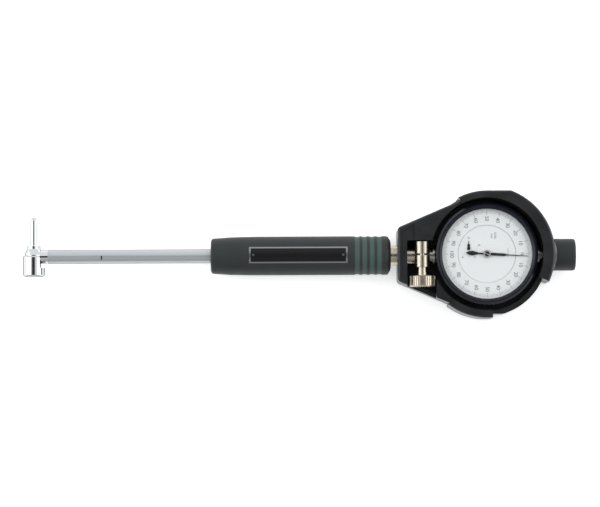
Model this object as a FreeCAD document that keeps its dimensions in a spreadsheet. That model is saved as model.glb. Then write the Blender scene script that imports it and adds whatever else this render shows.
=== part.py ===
import FreeCAD, Part
import math
import os
import re

import Sketcher
from FreeCAD import Placement, Rotation, Vector

# Dial bore gauge for bores of 18 to 35 mm, in millimetres, lying on its back.
# Origin: middle of the cover's back face, under the centre of the dial.
# +X runs to the end cap, -X to the measuring head, +Y along the anvil, +Z out of the dial.

doc = FreeCAD.newDocument("dial_bore_gauge")

# ---------------------------------------------------------------- driving sizes
SIZES = [
    # the line that the whole gauge is built on
    ("axis_height", 14.0, "gauge axis above the back face"),
    ("probe_reach", 100.0, "grip front to anvil axis"),
    ("grip_length", 101.3, "grip, end to end"),
    ("neck_length", 3.8, "bare neck between grip and cover"),
    ("travel", 1.0, "measuring travel of contact, rod and spindle"),
    # clearances
    ("fit", 0.02, "radial clearance of parts that are pressed or clamped"),
    ("running_fit", 0.05, "radial clearance of parts that slide or turn"),
    ("touch_gap", 0.02, "gap between parts that push on each other"),
    ("hole_gap", 0.3, "radial gap round parts that only pass through"),
    # measuring head
    ("head_radius", 5.15, "head core"),
    ("head_flat", 3.7, "flat on the tube side, from the anvil axis"),
    ("head_below", 6.8, "core below the gauge axis"),
    ("head_shoulder", 0.9, "start of the dome above the gauge axis"),
    ("head_top", 4.4, "top of the dome"),
    ("head_top_radius", 3.9, "flat on top of the dome"),
    ("boss_radius", 3.75, "boss towards the tube"),
    ("boss_length", 8.1, "boss end from the anvil axis"),
    ("spigot_length", 8.0, "spigot inside the tube"),
    ("crank_arm", 2.4, "arms of the bell crank"),
    ("crank_hub", 1.15, "radius of the crank's hub"),
    ("crank_pad", 0.7, "radius of the crank's pads"),
    ("crank_web", 0.45, "half width of the crank's arms"),
    ("crank_thick", 2.0, "bell crank thickness"),
    ("crank_pin_radius", 0.6, "bell crank pin"),
    ("contact_radius", 1.5, "contact point"),
    ("contact_reach", 10.6, "contact tip below the gauge axis"),
    ("anvil_radius", 2.02, "anvil pin"),
    ("anvil_reach", 22.4, "anvil tip above the gauge axis"),
    ("anvil_shank", 1.5, "threaded shank of the anvil, radius"),
    ("anvil_thread", 2.4, "length of that shank in the head"),
    ("nut_radius", 3.75, "anvil lock nut"),
    ("nut_thick", 1.9, "anvil lock nut"),
    # guide sleeve
    ("guide_radius", 6.25, "guide sleeve"),
    ("guide_reach", 11.15, "guide sleeve below the gauge axis"),
    ("guide_floor", 1.6, "bottom of the sleeve"),
    ("guide_top", 0.5, "upper rim above the gauge axis"),
    ("guide_round", 0.8, "rounding of the sleeve's rims"),
    ("guide_slot", 6.35, "open side ends this far below the gauge axis"),
    ("guide_saddle", 2.6, "half width of the saddle between the two lobes"),
    ("guide_saddle_depth", 1.1, "depth of that saddle"),
    ("guide_travel", 2.2, "travel of the sleeve"),
    ("guide_pin_radius", 0.6, "retaining pin"),
    ("guide_pin_drop", 3.0, "retaining pin below the gauge axis"),
    ("guide_pin_depth", 1.9, "retaining pin inside the core"),
    ("guide_spring_radius", 0.65, "guide springs, mean radius"),
    ("guide_spring_wire", 0.15, "wire radius"),
    ("guide_spring_offset", 3.7, "guide springs from the anvil axis"),
    ("guide_spring_pocket", 3.5, "depth of the spring pockets"),
    # probe
    ("tube_radius", 4.0, "probe tube"),
    ("tube_wall", 1.0, "probe tube"),
    ("tube_gap", 4.0, "end of the probe tube from the grip's rear end"),
    ("rod_radius", 1.2, "push rod"),
    ("rod_collar_radius", 2.6, "collar of the push rod"),
    ("rod_collar_thick", 1.5, "collar of the push rod"),
    ("rod_spring_length", 12.0, "rod spring"),
    ("rod_spring_radius", 2.15, "rod spring, mean radius"),
    ("rod_spring_wire", 0.25, "rod spring, wire radius"),
    ("bush_length", 6.0, "push rod bushes"),
    ("bush_front", 30.0, "first bush from the anvil axis"),
    ("bush_pitch", 110.0, "first bush to second bush"),
    # grip
    ("grip_radius", 10.95, "grip"),
    ("grip_front_radius", 10.0, "front end of the grip"),
    ("grip_taper", 24.0, "length of the front taper"),
    ("grip_round", 1.5, "rounding of the grip's ends"),
    ("grip_tail", 0.9, "domed tail behind the grip's rear edge"),
    ("grip_tail_radius", 7.5, "end of that tail"),
    ("scallop_count", 4, "shallow ring grooves for the thumb"),
    ("scallop_pitch", 4.15, "pitch of the grooves"),
    ("scallop_width", 3.7, "width of a groove"),
    ("scallop_depth", 0.32, "depth of a groove"),
    ("scallop_back", 6.4, "last groove from the rear end"),
    ("plate_length", 55.4, "label plate"),
    ("plate_width", 9.1, "label plate"),
    ("plate_thick", 0.4, "label plate"),
    ("plate_proud", 0.1, "label plate above the grip's surface"),
    ("plate_front", 21.6, "label plate from the grip's front"),
    # holder with its clamp
    ("holder_radius", 5.7, "neck and sleeve of the holder"),
    ("holder_shank", 12.4, "holder inside the grip"),
    ("holder_seat", 3.6, "shank beyond the end of the probe tube"),
    ("collar_radius", 6.6, "split collar"),
    ("ear_radius", 4.25, "ears of the collar"),
    ("ear_rise", 9.0, "clamp screw above the gauge axis"),
    ("ear_reach", 7.1, "ears to either side"),
    ("ear_web", 5.6, "half width of the web under the ears"),
    ("clamp_gap", 1.85, "collar of the holder from the stem's flange"),
    ("slit_width", 1.0, "slit of the collar"),
    ("slit_depth", 1.4, "slit beyond the collar"),
    ("screw_head_radius", 7.35, "thumb screw head"),
    ("screw_head_thick", 6.4, "thumb screw head"),
    ("screw_head_round", 0.6, "chamfer of the head"),
    ("screw_neck", 4.6, "neck between ears and head"),
    ("screw_neck_radius", 2.95, "neck at the ears"),
    ("screw_neck_flare", 0.35, "neck is wider by this at the head"),
    ("screw_radius", 2.0, "threaded shank"),
    ("screw_reach", 5.5, "shank beyond the slit"),
    ("knurl_count", 36, "grooves of the knurl"),
    ("knurl_depth", 0.35, "grooves of the knurl"),
    # dial cover
    ("cover_floor", 3.0, "back wall of the cover"),
    ("bezel_room", 3.0, "gap between bezel and round shell"),
    ("shell_wall", 3.1, "wall of the round shell"),
    ("shell_rise", 3.0, "rim of the shell above the gauge axis, where the bezel is free"),
    ("nose_reach", 13.85, "end of the nose in front of the clamp screw"),
    ("nose_half", 15.1, "half width of the nose's end"),
    ("flank_sink", 1.1, "the flanks touch a circle this much inside the shell"),
    ("nose_slope", 23.0, "slope of the flanks, degrees"),
    ("nose_rise", 13.0, "front face of the nose above the gauge axis"),
    ("nose_wall", 2.5, "walls of the nose"),
    ("nose_corner", 2.5, "rounding of the nose's corners"),
    ("guard_proud", 3.4, "large guard wall outside the shell"),
    ("guard_start", -24.5, "large guard wall, degrees"),
    ("guard_rise", 0.6, "top of the large guard above the bezel"),
    ("guard_flange", 2.5, "thickness of the guards' inner flange"),
    ("guard_side_proud", 0.9, "large guard outside the shell, past its flat"),
    ("guard_side_sweep", 26.5, "large guard past 90 degrees"),
    ("small_guard_proud", 1.25, "small guard wall outside the shell"),
    ("small_guard_start", 232.5, "small guard wall, degrees"),
    ("small_guard_sweep", 42.5, "small guard wall, degrees"),
    ("small_guard_drop", 1.9, "top of the small guard below the bezel's top"),
    ("flat_sink", 1.4, "flat beside the small guard, inside the shell"),
    ("edge_round", 1.2, "rounding of the cover's outer edges"),
    ("window_front_room", 1.25, "clamp window in front of the thumb screw's head"),
    ("window_back_room", 0.45, "clamp window behind the thumb screw's head"),
    ("window_side_room", 0.7, "clamp window beside the ears"),
    ("lip_room", 0.65, "shell left under the thumb screw's head"),
    ("recess_depth", 1.0, "sunken panel on the nose"),
    ("recess_rim", 2.2, "rim round that panel"),
    ("panel_length", 7.2, "length of that panel"),
    # end cap
    ("cap_radius", 9.0, "end cap"),
    ("cap_length", 12.4, "end cap"),
    ("cap_round", 1.2, "rounding of the cap's end"),
    ("cap_saddle", 1.8, "depth of the saddle in the cap's foot"),
    ("cap_wall", 3.0, "closed end of the cap"),
    ("ring_inset", 0.35, "ring under the cap, inside the cap's radius"),
    ("ring_thick", 2.2, "ring under the cap"),
    ("cap_bore_step", 0.6, "shoulder of the cap behind the ring"),
    # indicator case
    ("case_inset", 2.0, "indicator case inside the bezel's radius"),
    ("case_wall", 2.0, "indicator case"),
    ("wheel_room", 1.2, "room for the counter wheel under the dial plate"),
    ("shoulder_room", 0.1, "shoulder of the case above its bosses"),
    ("case_plate", 1.2, "plate under the dial"),
    ("case_boss", 5.5, "bosses for stem and bush"),
    ("boss_proud", 0.5, "faces of those bosses outside the bezel"),
    ("back_thick", 1.6, "case back"),
    ("back_lip", 1.0, "lip of the case back"),
    ("post_radius", 2.6, "screw posts in the case"),
    ("post_drop", 2.0, "top of the posts below the gauge axis"),
    ("post_sink", 2.1, "middle of the posts inside the case's wall"),
    ("stem_radius", 4.0, "stem"),
    ("stem_beyond", 9.9, "end of the stem in front of the clamp screw"),
    ("flange_radius", 5.2, "flanges of stem and bush"),
    ("flange_thick", 1.0, "flanges of stem and bush"),
    ("bush_radius", 3.2, "upper bush"),
    ("bush_room", 1.3, "end of the upper bush inside the cap"),
    ("cover_screw_radius", 1.25, "cover screws"),
    ("cover_screw_head", 2.4, "cover screws"),
    ("cover_screw_sink", 0.3, "heads below the back face"),
    ("cover_screw_head_thick", 1.3, "cover screws"),
    # spindle and movement
    ("spindle_radius", 2.35, "spindle"),
    ("spindle_proud", 3.0, "front end of the spindle beyond the stem"),
    ("spindle_short", 5.0, "back end of the spindle inside the large guard"),
    ("tip_length", 3.0, "spindle contact"),
    ("tip_radius", 1.6, "spindle contact"),
    ("tip_shank", 0.9, "threaded shank of the spindle contact"),
    ("tip_shank_length", 4.0, "that shank inside the spindle"),
    ("rack_line", 1.6, "pitch line of the rack from the gauge axis"),
    ("rack_back", 6.0, "rack flat to either side of the pinion"),
    ("rack_turn", 10.0, "travel for one turn of the rack pinion"),
    ("gear_module", 0.12, "module of the wheels"),
    ("mesh_gap", 0.06, "wheels stop this far short of their pitch circles"),
    ("first_wheel_teeth", 100, "on the rack pinion's arbor"),
    ("second_pinion_teeth", 10, "on the intermediate arbor"),
    ("second_wheel_teeth", 60, "on the intermediate arbor"),
    ("centre_pinion_teeth", 12, "on the centre arbor"),
    ("counter_ratio", 10, "turns of the hand for one of the counter"),
    ("arbor_radius", 0.45, "arbors"),
    ("plate_room", 0.85, "movement plate above the spindle"),
    ("movement_plate_thick", 1.2, "movement plate"),
    ("bridge_room", 3.8, "bridge above the movement plate"),
    ("bridge_thick", 1.0, "bridge"),
    ("bridge_radius", 13.0, "bridge"),
    ("pillar_radius", 1.3, "pillars of the bridge"),
    ("pillar_circle", 11.0, "circle of the pillars"),
    ("pillar_angle", 26.0, "first pillar, degrees from +X"),
    # dial, hands, bezel and crystal
    ("dial_inner", 16.0, "fixed inner dial"),
    ("dial_flange", 1.5, "thin edge of the inner dial, under the ring"),
    ("dial_thick", 0.6, "dials"),
    ("dial_gap", 0.3, "gap between the two dials and under the ring"),
    ("counter_x", 10.2, "counter from the dial centre, towards the head"),
    ("counter_y", 3.1, "counter from the dial centre, towards the anvil"),
    ("counter_hand_length", 4.0, "counter hand"),
    ("counter_spade_half", 0.8, "spade of the counter hand, half width"),
    ("counter_spade", 1.9, "middle of that spade from the counter's centre"),
    ("counter_hand_rise", 0.35, "counter hand above the inner dial"),
    ("hand_short", 2.4, "tip of the main hand inside the bezel's opening"),
    ("hand_tail", 11.9, "main hand, tail"),
    ("hand_half_width", 0.75, "main hand at the hub"),
    ("hand_tip_half_width", 0.18, "main hand at the tip"),
    ("hand_spade_half", 1.35, "spade of the main hand's tail"),
    ("hand_hub", 2.1, "hub of the main hand"),
    ("hand_thick", 0.25, "hands"),
    ("hand_rise", 0.8, "main hand above the inner dial"),
    ("hand_angle", -3.3, "main hand at rest, degrees from +X"),
    ("bezel_radius", 28.5, "bezel"),
    ("bezel_lip_thick", 1.4, "lip of the bezel over the crystal"),
    ("bezel_chamfer", 1.2, "outer chamfer of the bezel"),
    ("bezel_land_width", 0.6, "flat top face of the bezel"),
    ("bezel_wall", 3.3, "bezel, from its outside to its opening"),
    ("bezel_seat_step", 0.8, "seat of dial ring and crystal, outside the opening"),
    ("crystal_rise", 2.5, "top of the crystal above the dial"),
    ("bezel_gap", 0.3, "gap between bezel and case shoulder"),
    ("flute_count", 72, "flutes of the bezel's grip"),
    ("flute_radius", 0.75, "flutes of the bezel's grip"),
    ("flute_depth", 0.4, "flutes of the bezel's grip"),
    ("crystal_thick", 1.2, "crystal"),
]

# Sizes that follow from those. A later one may use an earlier one.
FOLLOWS = [
    ("bezel_opening", "bezel_radius - bezel_wall", "opening over the dial"),
    ("bezel_seat", "bezel_opening + bezel_seat_step", "dial ring and crystal in the bezel"),
    ("bezel_land", "bezel_radius - bezel_chamfer - bezel_land_width", "inner edge of its top"),
    ("hand_length", "bezel_opening - hand_short", "main hand, tip"),
    ("case_radius", "bezel_radius - case_inset", "indicator case"),
    ("case_spigot", "bezel_opening", "spigot that the bezel turns on"),
    ("case_shoulder", "axis_height + case_boss + shoulder_room", "height of its shoulder"),
    ("case_boss_reach", "bezel_radius + boss_proud", "faces of the bosses"),
    ("post_circle", "case_radius - case_wall - post_sink", "circle of the screw posts"),
    ("post_height", "axis_height - post_drop", "top of the screw posts"),
    ("plate_low", "axis_height + spindle_radius + plate_room", "underside of the plate"),
    ("bridge_low", "plate_low + movement_plate_thick + bridge_room", "underside of the bridge"),
    ("case_top", "bridge_low + bridge_thick + wheel_room + case_plate", "seat of the dial"),
    ("ring_low", "case_top + dial_gap", "underside of the dial ring"),
    ("bezel_lip", "ring_low + dial_thick + crystal_rise", "underside of the bezel's lip"),
    ("bezel_top", "bezel_lip + bezel_lip_thick", "top of the bezel"),
    ("clamp_place", "case_boss_reach + flange_thick + clamp_gap + ear_radius", "clamp screw"),
    ("stem_end", "clamp_place + stem_beyond", "end of the stem from the dial centre"),
    ("spindle_front", "stem_end + spindle_proud", "front end of the spindle"),
    ("shell_bore", "bezel_radius + bezel_room", "inside of the round shell"),
    ("shell_radius", "shell_bore + shell_wall", "round shell"),
    ("shell_height", "axis_height + shell_rise", "rim of the round shell"),
    ("guard_radius", "shell_radius + guard_proud", "large guard"),
    ("guard_side_radius", "shell_radius + guard_side_proud", "large guard past its flat"),
    ("guard_height", "bezel_top + guard_rise", "top of the large guard"),
    ("small_guard_radius", "shell_radius + small_guard_proud", "small guard"),
    ("small_guard_height", "bezel_top - small_guard_drop", "top of the small guard"),
    ("shell_flat", "shell_radius - flat_sink", "flat beside the small guard"),
    ("nose_length", "clamp_place + nose_reach", "end of the nose from the dial centre"),
    ("nose_tangent", "shell_radius - flank_sink", "circle that the flanks touch"),
    ("nose_height", "axis_height + nose_rise", "front face of the nose"),
    ("window_front", "clamp_place + screw_head_radius + window_front_room", "clamp window"),
    ("window_back", "clamp_place - screw_head_radius - window_back_room", "clamp window"),
    ("window_top", "ear_reach + window_side_room", "clamp window beside the ears"),
    ("lip_height", "axis_height + ear_rise - screw_head_radius - lip_room", "shell under it"),
    ("recess_back", "nose_length - recess_rim - panel_length", "end of the sunken panel"),
    ("ring_radius", "cap_radius - ring_inset", "ring under the cap"),
    ("bush_end", "guard_radius + cap_length - cap_wall - bush_room", "end of the upper bush"),
    ("spindle_back", "guard_radius - spindle_short", "back end of the spindle"),
]

sizes = doc.addObject("Spreadsheet::Sheet", "sizes")
sizes.Label = "sizes"
for row, (alias, number, meaning) in enumerate(SIZES, start=1):
    sizes.set(f"A{row}", alias)
    sizes.set(f"B{row}", str(number))
    sizes.set(f"C{row}", meaning)
    sizes.setAlias(f"B{row}", alias)
doc.recompute()

ALIASES = re.compile(r"\b(" + "|".join(alias for alias, _, _ in SIZES) + r")\b")


# ------------------------------------------------------------ drawing helpers
def bound(text):
    """An expression over the sheet, from one written with bare names."""
    for name, rule, _ in reversed(FOLLOWS):
        text = re.sub(rf"\b{name}\b", f"({rule})", text)
    return ALIASES.sub(r"sizes.\1", text)


def value(text):
    """The number that such an expression has now."""
    result = sizes.evalExpression(bound(text))
    return float(getattr(result, "Value", result))


def new_body(label, at_x="0", at_y="0", at_z="0"):
    """An empty body, placed by three expressions."""
    body = doc.addObject("PartDesign::Body", label)
    body.Label = label
    place(body, at_x, at_y, at_z)
    return body


def place(thing, at_x, at_y, at_z):
    for axis, text in (("x", at_x), ("y", at_y), ("z", at_z)):
        if text != "0":
            thing.setExpression(f"Placement.Base.{axis}", bound(text))


def new_sketch(body, plane, height="0", turn="0"):
    """A sketch on an origin plane, raised along its normal, or turned about its own Y."""
    sketch = body.newObject("Sketcher::SketchObject", "Sketch")
    origin = [f for f in body.Origin.OriginFeatures if f.Role == f"{plane}_Plane"][0]
    sketch.AttachmentSupport = [(origin, "")]
    sketch.MapMode = "FlatFace"
    if height != "0":
        sketch.setExpression("AttachmentOffset.Base.z", bound(height))
    if turn != "0":
        angle = value(turn)
        sketch.AttachmentOffset = Placement(Vector(), Rotation(Vector(0, 1, 0), angle))
        sketch.setExpression("AttachmentOffset.Rotation.Angle", bound(turn))
    return sketch


def pin_point(sketch, geometry, point, across, up):
    """Fix a sketch point by its two coordinates."""
    for kind, text in (("DistanceX", across), ("DistanceY", up)):
        number = value(text)
        constraint = Sketcher.Constraint(kind, -1, 1, geometry, point, number)
        index = sketch.addConstraint(constraint)
        sketch.setExpression(f"Constraints[{index}]", bound(text))


def outline(sketch, points):
    """A closed outline through points, each a pair of expressions."""
    spots = [Vector(value(across), value(up), 0) for across, up in points]
    lines = []
    for spot, after in zip(spots, spots[1:] + spots[:1]):
        lines.append(sketch.addGeometry(Part.LineSegment(spot, after), False))
    for line, after in zip(lines, lines[1:] + lines[:1]):
        sketch.addConstraint(Sketcher.Constraint("Coincident", line, 2, after, 1))
    for line, (across, up) in zip(lines, points):
        pin_point(sketch, line, 1, across, up)
    return sketch


def circle(sketch, across, up, radius):
    """A circle by centre and radius."""
    centre = Vector(value(across), value(up), 0)
    shape = Part.Circle(centre, Vector(0, 0, 1), value(radius))
    index = sketch.addGeometry(shape, False)
    pin_point(sketch, index, 3, across, up)
    number = sketch.addConstraint(Sketcher.Constraint("Radius", index, value(radius)))
    sketch.setExpression(f"Constraints[{number}]", bound(radius))
    return sketch


def grow(body, kind, sketch, **settings):
    """Add a feature to a body; settings written as text are expressions."""
    feature = body.newObject(f"PartDesign::{kind}", kind)
    feature.Profile = sketch
    for name, setting in settings.items():
        if isinstance(setting, str) and name != "Type":
            feature.setExpression(name, bound(setting))
        else:
            setattr(feature, name, setting)
    sketch.Visibility = False
    return feature


def pad(body, sketch, length, **settings):
    return grow(body, "Pad", sketch, Length=length, **settings)


def pocket(body, sketch, length=None, **settings):
    """Cut along the sketch's normal; with no length the cut goes right through."""
    if length is None:
        return grow(body, "Pocket", sketch, Type="ThroughAll", **settings)
    return grow(body, "Pocket", sketch, Length=length, **settings)


def spin(body, kind, sketch, axis, angle="360", **settings):
    """A Revolution or Groove about one of the sketch's own axes."""
    return grow(body, kind, sketch, ReferenceAxis=(sketch, [axis]), Angle=angle, **settings)


def turned(body, axis, profile, kind="Revolution"):
    """Turn a profile of (along the axis, radius) pairs about X, Y or Z."""
    if axis == "X":
        sketch = outline(new_sketch(body, "XY"), profile)
        return spin(body, kind, sketch, "H_Axis")
    plane = "XY" if axis == "Y" else "XZ"
    sketch = outline(new_sketch(body, plane), [(radius, along) for along, radius in profile])
    return spin(body, kind, sketch, "V_Axis")


def repeated(body, feature, kind, axis_role, count, **settings):
    """Repeat a feature about, or along, one of the body's origin axes."""
    pattern = body.newObject(f"PartDesign::{kind}", kind)
    axis = [f for f in body.Origin.OriginFeatures if f.Role == axis_role][0]
    pattern.Originals = [feature]
    if kind == "PolarPattern":
        pattern.Axis = (axis, [""])
        pattern.setExpression("Angle", "360")
    else:
        pattern.Direction = (axis, [""])
    for name, text in settings.items():
        pattern.setExpression(name, bound(text))
    pattern.setExpression("Occurrences", bound(count))
    body.Tip = pattern
    return pattern


def round_edges(body, kind, size, wanted):
    """Fillet or Chamfer the edges of the tip that pass a test on their two bounds."""
    doc.recompute()
    base = body.Tip
    shape = base.Shape
    names = []
    for number, edge in enumerate(shape.Edges, start=1):
        if wanted(edge):
            names.append(f"Edge{number}")
    feature = body.newObject(f"PartDesign::{kind}", kind)
    feature.Base = (base, names)
    feature.setExpression("Radius" if kind == "Fillet" else "Size", bound(size))
    body.Tip = feature
    return feature


def near(first, second):
    return abs(first - second) < 1e-4


# ------------------------------------------------------- places along the gauge
GRIP_BACK = "(-(nose_length + neck_length))"
GRIP_FRONT = f"({GRIP_BACK} - grip_length)"
HEAD = f"({GRIP_FRONT} - probe_reach)"
TUBE_END = f"({GRIP_BACK} - tube_gap)"
HOLDER_FRONT = f"({GRIP_BACK} - holder_shank)"
TIP_END = "(-(spindle_front + tip_length))"

# =============================================================== measuring head
# Head body: turned core with a domed top, a flat and a boss towards the tube,
# a slot for the bell crank and bores for contact, anvil, rod, pin and springs.
head = new_body("head_body", HEAD, "0", "axis_height")
turned(head, "Y", [
    ("-head_below", "0"),
    ("-head_below", "head_radius"),
    ("head_shoulder", "head_radius"),
    ("(head_shoulder + head_top) / 2", "head_top_radius + (head_radius - head_top_radius) * 0.72"),
    ("head_top", "head_top_radius"),
    ("head_top", "0"),
])
flat = outline(new_sketch(head, "XY"), [
    ("head_flat", "-head_below - 1"),
    ("head_radius + 1", "-head_below - 1"),
    ("head_radius + 1", "head_top + 1"),
    ("head_flat", "head_top + 1"),
])
pocket(head, flat, Midplane=True)
boss = circle(new_sketch(head, "YZ", "head_flat / 2"), "0", "0", "boss_radius")
pad(head, boss, "boss_length - head_flat / 2")
spigot = circle(new_sketch(head, "YZ", "boss_length"), "0", "0", "tube_radius - tube_wall - fit")
pad(head, spigot, "spigot_length")
CRANK_SLOT = "(crank_arm + crank_hub + 0.15)"
slot = outline(new_sketch(head, "XY"), [
    ("-(crank_pad + 0.5)", f"-{CRANK_SLOT}"),
    (f"{CRANK_SLOT} + 0.2", f"-{CRANK_SLOT}"),
    (f"{CRANK_SLOT} + 0.2", "crank_pad + 0.3"),
    ("-(crank_pad + 0.5)", "crank_pad + 0.3"),
])
pocket(head, slot, "crank_thick + 2 * hole_gap", Midplane=True)
rod_bore = circle(new_sketch(head, "YZ"), "0", "0", "rod_radius + running_fit")
pocket(head, rod_bore, "boss_length + spigot_length + 1", Reversed=True)
contact_bore = circle(new_sketch(head, "XZ", "crank_arm"), "0", "0",
                      "contact_radius + running_fit")
pocket(head, contact_bore, "head_below", Reversed=True)
anvil_bore = circle(new_sketch(head, "XZ", "-head_top"), "0", "0", "anvil_shank + fit")
pocket(head, anvil_bore, "anvil_thread + 0.2", Reversed=True)
pin_bore = circle(new_sketch(head, "XY"), "crank_arm", "-crank_arm", "crank_pin_radius + fit")
pocket(head, pin_bore, "2 * head_radius", Midplane=True)
spring_pockets = new_sketch(head, "XZ", "head_below")
for side in ("", "-"):
    circle(spring_pockets, "0", f"{side}guide_spring_offset",
           "guide_spring_radius + guide_spring_wire + running_fit")
pocket(head, spring_pockets, "guide_spring_pocket")
guide_pin_bore = circle(new_sketch(head, "YZ", "-head_radius"), "-guide_pin_drop", "0",
                        "guide_pin_radius + fit")
pocket(head, guide_pin_bore, "guide_pin_depth + 0.1", Reversed=True)

# Guide sleeve: a cup round the core, open on the tube side, with a saddle between
# its two lobes, a hole for the contact and a slot for the retaining pin.
guide = new_body("guide_sleeve", HEAD, "0", "axis_height")
turned(guide, "Y", [
    ("-guide_reach", "0"),
    ("-guide_reach", "guide_radius - guide_round"),
    ("-guide_reach + guide_round * 0.3", "guide_radius - guide_round * 0.3"),
    ("-guide_reach + guide_round", "guide_radius"),
    ("guide_top - guide_round", "guide_radius"),
    ("guide_top - guide_round * 0.3", "guide_radius - guide_round * 0.25"),
    ("guide_top", "guide_radius - guide_round * 0.8"),
    ("guide_top", "head_radius + running_fit"),
    ("-(guide_reach - guide_floor)", "head_radius + running_fit"),
    ("-(guide_reach - guide_floor)", "0"),
])
open_side = outline(new_sketch(guide, "XY"), [
    ("head_flat - 0.1", "-guide_slot"),
    ("guide_radius + 1", "-guide_slot"),
    ("guide_radius + 1", "guide_top + 1"),
    ("head_flat - 0.1", "guide_top + 1"),
])
pocket(guide, open_side, Midplane=True)
saddle = outline(new_sketch(guide, "YZ"), [
    ("-guide_reach - 1", "-guide_saddle"),
    ("-guide_reach + guide_saddle_depth", "-guide_saddle + 0.6"),
    ("-guide_reach + guide_saddle_depth", "guide_saddle - 0.6"),
    ("-guide_reach - 1", "guide_saddle"),
])
pocket(guide, saddle, Midplane=True)
contact_hole = circle(new_sketch(guide, "XZ", "guide_reach"), "0", "0",
                      "contact_radius + running_fit * 2")
pocket(guide, contact_hole, "guide_floor + 1")
pin_slot = outline(new_sketch(guide, "YZ", "-guide_radius"), [
    ("-guide_pin_drop - guide_travel - guide_pin_radius - 0.15", "-guide_pin_radius - running_fit"),
    ("-guide_pin_drop + guide_pin_radius + 0.15", "-guide_pin_radius - running_fit"),
    ("-guide_pin_drop + guide_pin_radius + 0.15", "guide_pin_radius + running_fit"),
    ("-guide_pin_drop - guide_travel - guide_pin_radius - 0.15", "guide_pin_radius + running_fit"),
])
pocket(guide, pin_slot, "guide_radius - head_radius + 0.5", Reversed=True)

# Guide retaining pin, pressed into the core; its head runs in the sleeve's slot.
guide_pin = new_body("guide_pin", HEAD, "-guide_pin_drop", "axis_height")
turned(guide_pin, "X", [
    ("-guide_radius + 0.15", "0"),
    ("-guide_radius + 0.15", "guide_pin_radius"),
    ("-head_radius + guide_pin_depth", "guide_pin_radius"),
    ("-head_radius + guide_pin_depth", "0"),
])

# Guide springs: two coils between the core's pockets and the floor of the sleeve.
springs = new_body("guide_springs", HEAD, "0", "axis_height")
SPRING_FLOOR = "(guide_reach - guide_floor - guide_spring_wire)"
SPRING_LENGTH = f"({SPRING_FLOOR} - head_below + guide_spring_pocket - guide_spring_wire)"
for side in ("", "-"):
    wire = circle(new_sketch(springs, "XY", f"{side}guide_spring_offset"),
                  "guide_spring_radius", f"-{SPRING_FLOOR}", "guide_spring_wire")
    coil = springs.newObject("PartDesign::AdditiveHelix", "AdditiveHelix")
    coil.Profile = wire
    coil.ReferenceAxis = (wire, ["V_Axis"])
    coil.Mode = "height-turns-growth"
    coil.setExpression("Height", bound(SPRING_LENGTH))
    coil.Turns = 5
springs.AllowCompound = True

# Contact point: a pin with a ball end that slides in the core. Its inner end is
# necked to pass the crank's hub at full travel.
contact = new_body("contact_point", HEAD, "0", "axis_height")
CRANK_HALF = "asin(travel / 2 / crank_arm)"
CONTACT_TOP = "(-(crank_arm + travel / 2 + crank_pad + touch_gap))"
CONTACT_NECK = "crank_arm - crank_hub - hole_gap"
turned(contact, "Y", [
    ("-contact_reach", "0"),
    ("-contact_reach + contact_radius * 0.076", "contact_radius * 0.383"),
    ("-contact_reach + contact_radius * 0.293", "contact_radius * 0.707"),
    ("-contact_reach + contact_radius * 0.617", "contact_radius * 0.924"),
    ("-contact_reach + contact_radius", "contact_radius"),
    (f"{CONTACT_TOP} - travel", "contact_radius"),
    (f"{CONTACT_TOP} - travel", CONTACT_NECK),
    (CONTACT_TOP, CONTACT_NECK),
    (CONTACT_TOP, "0"),
])

# Bell crank: two arms at a right angle; at rest each stands half the travel back.
crank = new_body("bell_crank", f"{HEAD} + crank_arm", "-crank_arm", "axis_height")
for turn_back in (180, 90):
    place_angle = f"({turn_back} deg + {CRANK_HALF})"
    arm_x = f"crank_arm * cos({place_angle})"
    arm_y = f"crank_arm * sin({place_angle})"
    side_x = f"crank_web * sin({place_angle})"
    side_y = f"crank_web * cos({place_angle})"
    arm = outline(new_sketch(crank, "XY"), [
        (f"{side_x}", f"-{side_y}"),
        (f"{arm_x} + {side_x}", f"{arm_y} - {side_y}"),
        (f"{arm_x} - {side_x}", f"{arm_y} + {side_y}"),
        (f"-{side_x}", f"{side_y}"),
    ])
    pad(crank, arm, "crank_thick", Midplane=True)
    end = circle(new_sketch(crank, "XY"), arm_x, arm_y, "crank_pad")
    pad(crank, end, "crank_thick", Midplane=True)
hub = circle(new_sketch(crank, "XY"), "0", "0", "crank_hub")
pad(crank, hub, "crank_thick", Midplane=True)
hub_bore = circle(new_sketch(crank, "XY"), "0", "0", "crank_pin_radius + running_fit")
pocket(crank, hub_bore, Midplane=True)

crank_pin = new_body("bell_crank_pin", f"{HEAD} + crank_arm", "-crank_arm", "axis_height")
pin = circle(new_sketch(crank_pin, "XY"), "0", "0", "crank_pin_radius")
pad(crank_pin, pin, "2 * (sqrt(head_radius ^ 2 - (crank_arm + crank_pin_radius) ^ 2) - 0.1)",
    Midplane=True)

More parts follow.
